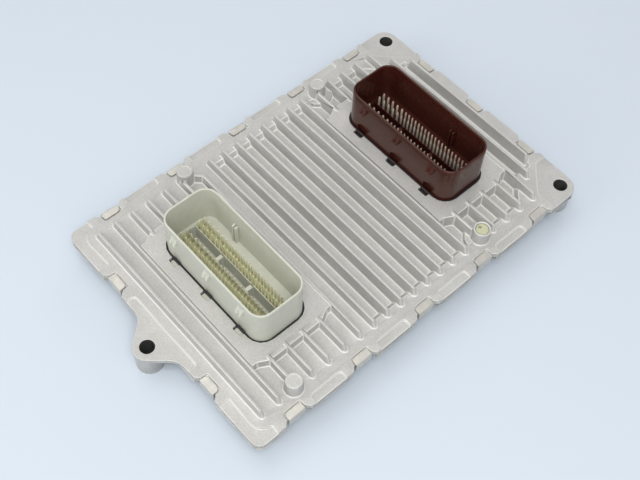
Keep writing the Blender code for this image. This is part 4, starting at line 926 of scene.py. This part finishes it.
def header_floor(half_x, half_y):
    """The floor's grid, narrowed near its two ends to stay inside the round corners of the wall."""
    reach_x = half_x - HEADER_WALL + FLOOR_TUCK
    reach_y = half_y - HEADER_WALL + FLOOR_TUCK
    step = np.linspace(-FLOOR_STEP, FLOOR_STEP, 4)
    edges_x = [SPINE_HALF_WIDTH, -SPINE_HALF_WIDTH]
    edges_x += [SPINE_HALF_WIDTH - SPINE_WALL, SPINE_WALL - SPINE_HALF_WIDTH]
    edges_x += [TROUGH_INNER, -TROUGH_INNER, TROUGH_OUTER, -TROUGH_OUTER]
    edges_y = [FIELD_SHIFT + SPINE_HALF_LENGTH, FIELD_SHIFT - SPINE_HALF_LENGTH]
    edges_y += [edges_y[0] - SPINE_WALL, edges_y[1] + SPINE_WALL]
    edges_y += [FIELD_SHIFT + TROUGH_HALF_LENGTH, FIELD_SHIFT - TROUGH_HALF_LENGTH]
    edges_y += [place + side * BRIDGE_HALF_WIDTH for place in BRIDGE_PLACES for side in (-1, 1)]
    edges_y += [place + side * NOTCH_HALF_WIDTH for place in BRIDGE_PLACES for side in (-1, 1)]
    near_x = [edge + step for edge in edges_x]
    near_y = [edge + step for edge in edges_y]
    lines_x = np.unique(np.concatenate([np.linspace(-reach_x, reach_x, 15), *near_x]))
    lines_y = np.unique(np.concatenate([np.linspace(-reach_y, reach_y, 41), *near_y]))
    x, y = np.meshgrid(lines_x, lines_y)
    height = floor_heights(x, y)
    radius = HEADER_RADIUS - HEADER_WALL + FLOOR_TUCK
    past = np.clip(np.abs(y) - (reach_y - radius), 0, radius)
    room = reach_x - radius + np.sqrt(radius**2 - past**2)
    fixed = TROUGH_OUTER + FLOOR_MARGIN
    squeezed = np.sign(x) * (fixed + (np.abs(x) - fixed) * (room - fixed) / (reach_x - fixed))
    x = np.where(np.abs(x) > fixed, squeezed, x)
    points = np.stack([x, y, height], axis=-1).reshape(-1, 3)
    return points, grid_quads(len(lines_y), len(lines_x))


# %% [markdown]
# ### Pins
# Each header holds four rows: five wide-set power pins at one end and nineteen fine signal pins after
# them. A pin is a square bar whose last stretch narrows to a small flat tip, so that it finds its
# socket. One pin is made once and repeated by adding all the places at once. Each kind of pin has its
# count in a row, its pitch and its width.

# %% Pin sizes and places
PIN_TIP = 0.0260
PIN_TAPER_LENGTH = 0.0009
PIN_SUNK = 0.0004
PIN_ROWS = (-0.0064, -0.0034, 0.0034, 0.0064)
SIGNAL_PINS = (19, 0.00224, 0.00056)
POWER_PINS = (5, 0.00315, 0.00074)
GROUP_GAP = 0.0027


def one_pin(size):
    """A pin: square rings of one height and half width each, closed at the tip."""
    half_widths = np.array([1.0, 1.0, 0.94, 0.58, 0.5, 0.0]) * size / 2
    foot = HEADER_FLOOR - TROUGH_DEPTH - PIN_SUNK
    heights = np.array([foot, PIN_TIP - PIN_TAPER_LENGTH, PIN_TIP - 0.85 * PIN_TAPER_LENGTH])
    heights = np.concatenate([heights, [PIN_TIP - 0.0001, PIN_TIP, PIN_TIP]])
    corner = np.array([[1.0, -1.0], [1.0, 1.0], [-1.0, 1.0], [-1.0, -1.0]])
    rings = [np.column_stack([corner * w, np.full(4, z)]) for w, z in zip(half_widths, heights)]
    return np.concatenate(rings), grid_quads(len(rings), 4, closed=True)


def pin_places(middle_x):
    """The places of the power pins and of the signal pins, as two arrays."""
    signal_count, signal_pitch, _ = SIGNAL_PINS
    power_count, power_pitch, _ = POWER_PINS
    power_span = (power_count - 1) * power_pitch
    span = power_span + GROUP_GAP + (signal_count - 1) * signal_pitch
    power_y = FIELD_SHIFT + span / 2 - np.arange(power_count) * power_pitch
    signal_y = power_y[-1] - GROUP_GAP - np.arange(signal_count) * signal_pitch
    groups = []
    for along in (power_y, signal_y):
        x, y = np.meshgrid(np.array(PIN_ROWS) + middle_x, along)
        groups.append(np.column_stack([x.ravel(), y.ravel(), np.zeros(x.size)]))
    return groups


# %% [markdown]
# ### Painted shade at the pins' feet
# Each trough is lined with a thin dark sheet: painted shade between the pins, tinted olive in the grey
# header as a painted reflection of the brass pins. It rises a little at the trough's edges, so its
# surface is a shallow bowl.

# %% The surface of the painted shade
SHADE_SHEET_LEVEL = 0.0003
SHADE_SHEET_RISE = 0.00015


def pin_shade_strips():
    """Two strips of painted shade: their level, plus the rise times the fourth power of the place across."""
    across = np.linspace(-1.0, 1.0, 9)
    along = np.linspace(-TROUGH_HALF_LENGTH, TROUGH_HALF_LENGTH, 25)
    half = (TROUGH_OUTER - TROUGH_INNER) / 2
    x, y = np.meshgrid(across * half, along + FIELD_SHIFT)
    level = HEADER_FLOOR - TROUGH_DEPTH + SHADE_SHEET_LEVEL + SHADE_SHEET_RISE * (x / half) ** 4
    strip = np.stack([x, y, level], axis=-1).reshape(-1, 3), grid_quads(len(along), len(across))
    middle = (TROUGH_OUTER + TROUGH_INNER) / 2
    return repeated(strip, [(-middle, 0.0, 0.0), (middle, 0.0, 0.0)])


# %% [markdown]
# ### The seal round a header
# A soft black bead fills the gap between the header and the casting. Seen from above it is a thin dark
# line with three square lugs on the latch side. Its upper face is slightly crowned.

# %% The seal's surface
SEAL_BASE = 0.0160
SEAL_LEVEL = 0.0184
SEAL_CROWN = 0.0002
SEAL_GAP = 0.0010
LUG_LEVEL = 0.0172
LUG_HALF_WIDTH = 0.0025
LUG_REACH = 0.0020
LUG_RADIUS = 0.0004
LUG_EDGE = 0.0002
SIDE_TUCK = 0.0004
FOOT_HALF_WIDTH = 0.0022
FOOT_RADIUS = 0.0005
FOOT_EDGE = 0.0003
FOOT_SIZES = {"grey": (0.0032, 0.0174), "brown": (0.0015, 0.0182)}


def header_seal(half_x, half_y):
    """The bead's crown, a flat arch across the gap carried round the header, and the three lugs."""
    across = np.linspace(0.0, 1.0, 7)
    insets = np.concatenate([[-SEAL_GAP], -SEAL_GAP * (1 - across), [0.0]])
    crown = SEAL_LEVEL + SEAL_CROWN * np.sin(math.pi * across)
    heights = np.concatenate([[SEAL_BASE], crown, [SEAL_BASE]])
    rings = []
    for height, inset in zip(heights, insets):
        ring, _ = rounded_ring(half_x, half_y, HEADER_RADIUS, inset, CORNER_STEPS)
        rings.append(np.column_stack([ring, np.full(len(ring), height)]))
    bead = np.concatenate(rings), grid_quads(len(rings), len(rings[0]), closed=True)
    lug_half = (LUG_REACH + SIDE_TUCK) / 2
    lug = block(lug_half, LUG_HALF_WIDTH, LUG_RADIUS, SEAL_BASE, LUG_LEVEL, LUG_EDGE)
    lug_x = -half_x - SEAL_GAP - LUG_REACH / 2
    return together([bead, repeated(lug, [(lug_x, y, 0.0) for y in LATCH_PLACES])])


# %% The header's feet
def header_feet(half_x, reach, top):
    """Three small blocks that stand out of the latch side, each in the middle of a lug of the seal."""
    foot = block(reach / 2, FOOT_HALF_WIDTH, FOOT_RADIUS, SEAL_BASE, top, FOOT_EDGE)
    foot_x = -half_x - reach / 2 + SIDE_TUCK
    return repeated(foot, [(foot_x, y, 0.0) for y in LATCH_PLACES])


# %% Both headers, piece by piece
KEY_RADIUS = 0.0003
KEY_SUNK = 0.0003
KEY_TUCK = 0.0002
KEY_HALF_WIDTH = 0.0005
KEY_HALF_PITCH = 0.0009
KEY_REACH = 0.0020
KEY_TOP = 0.0316
KEY_PLACES = {"grey": 0.0130, "brown": -0.0120}
PLASTICS = {"grey": GREY_PLASTIC, "brown": BROWN_PLASTIC}
PIN_FINISHES = {"grey": BRASS_PINS, "brown": TIN_PINS}
PIN_SHADE_SHEETS = {"grey": OLIVE_PIN_SHADE, "brown": BROWN_PIN_SHADE}


def build_header(colour):
    """Makes the wall, floor, key, pins and seal of one header and stands them where the solid is."""
    node = colour + "_header"
    middle, half_x, half_y, rim = header_measures(node)
    shift = np.array([middle.x, middle.y, 0.0])
    points, quads = header_wall(half_x, half_y, rim, NICHE_DEPTHS[colour])
    plastic = PLASTICS[colour]
    make_piece(colour + "_header_wall", (points + shift, quads), plastic, [node])
    points, quads = header_floor(half_x, half_y)
    make_piece(colour + "_header_floor", (points + shift, quads), plastic)
    key_foot = HEADER_FLOOR - KEY_SUNK
    key = block(KEY_REACH / 2, KEY_HALF_WIDTH, KEY_RADIUS, key_foot, KEY_TOP, KEY_RADIUS)
    key_x = middle.x + half_x - HEADER_WALL - KEY_REACH / 2 + KEY_TUCK
    key_y = KEY_PLACES[colour]
    prongs = [(key_x, key_y - KEY_HALF_PITCH, 0.0), (key_x, key_y + KEY_HALF_PITCH, 0.0)]
    make_piece(colour + "_header_key", repeated(key, prongs), plastic)
    # The two strips under the pins are a dark sheet of painted shade.
    points, quads = pin_shade_strips()
    make_piece(colour + "_header_pin_shade", (points + shift, quads), PIN_SHADE_SHEETS[colour])
    power, signal = pin_places(middle.x)
    power_pins = repeated(one_pin(POWER_PINS[2]), power)
    signal_pins = repeated(one_pin(SIGNAL_PINS[2]), signal)
    pins = together([power_pins, signal_pins])
    make_piece(colour + "_header_pins", pins, PIN_FINISHES[colour])
    points, quads = header_seal(half_x, half_y)
    seal = points + shift, quads
    make_piece(colour + "_header_bead", seal, SEALANT, [colour + "_header_seal"])
    points, quads = header_feet(half_x, *FOOT_SIZES[colour])
    make_piece(colour + "_header_feet", (points + shift, quads), plastic)


for colour in ("grey", "brown"):
    build_header(colour)

# %% [markdown]
# ## The plug in one boss
# One of the four screw bosses carries a pale plug in its hollow top. It is a turned shape: a profile of
# radius and height, swept once round. Its small dimple sits off the middle, so it is a shallow bowl
# pressed into the surface at its own place.

# %% The plug
PLUG_RADIUS = 0.0030
PLUG_STEPS = 48
PLUG_RINGS = 14
PLUG_EDGE = 0.0004
DIMPLE_OFF = 0.0014
DIMPLE_RADIUS = 0.0009
DIMPLE_DEPTH = 0.0016
DIMPLE_FLAT = 0.6


def plug_surface(middle, low, high):
    """A disc with a round edge; each point sinks where it is near the dimple's place."""
    turn = np.linspace(0.0, math.pi / 2, 5)[::-1]
    edge_r = PLUG_RADIUS - PLUG_EDGE * (1 - np.sin(turn))
    edge_z = high - PLUG_EDGE * (1 - np.cos(turn))
    top_r = np.linspace(PLUG_RADIUS - PLUG_EDGE, 0, PLUG_RINGS + 1)[1:]
    radii = np.concatenate([[PLUG_RADIUS], edge_r, top_r])
    heights = np.concatenate([[low], edge_z, np.full(PLUG_RINGS, high)])
    angle = np.arange(PLUG_STEPS) / PLUG_STEPS * 2 * math.pi
    x = radii[:, None] * np.cos(angle)[None, :]
    y = radii[:, None] * np.sin(angle)[None, :]
    near = np.hypot(x, y - DIMPLE_OFF) / DIMPLE_RADIUS
    z = heights[:, None] - DIMPLE_DEPTH * (1 - smooth_step(near, DIMPLE_FLAT, 1.0))
    points = np.stack([x + middle.x, y + middle.y, z], axis=-1).reshape(-1, 3)
    return points, grid_quads(len(radii), PLUG_STEPS, closed=True)


plug_low, plug_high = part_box("boss_plug")
plug_middle = (plug_low + plug_high) / 2
plug = plug_surface(plug_middle, plug_low.z, plug_high.z)
make_piece("boss_plug_cap", plug, CREAM_PLASTIC, ["boss_plug"])

# %% [markdown]
# ## Inside the box
# The board and its parts keep their solids. Nobody sees them in the closed unit, so each only gets the
# finish that the real one has.

# %% Finishes of the inner pieces
INNER_FINISHES = {
    "circuit_board": LAMINATE,
    "board_screw": SCREW_STEEL,
    "microcontroller": CHIP_PACKAGE,
    "flash_memory": CHIP_PACKAGE,
    "power_driver": CHIP_PACKAGE,
    "signal_driver": CHIP_PACKAGE,
    "voltage_regulator": CHIP_PACKAGE,
    "clock_crystal": CRYSTAL_CAN,
    "storage_choke": SUPPLY_PARTS,
    "smoothing_capacitor": SUPPLY_PARTS,
    "thermal_pad": HEAT_PAD,
    "cover_seal": SEALANT,
}
for name, node in nodes.items():
    for start, finish in INNER_FINISHES.items():
        if name.startswith(start):
            node.data.materials.clear()
            node.data.materials.append(finish)

# %% The json module, imported once more
import json
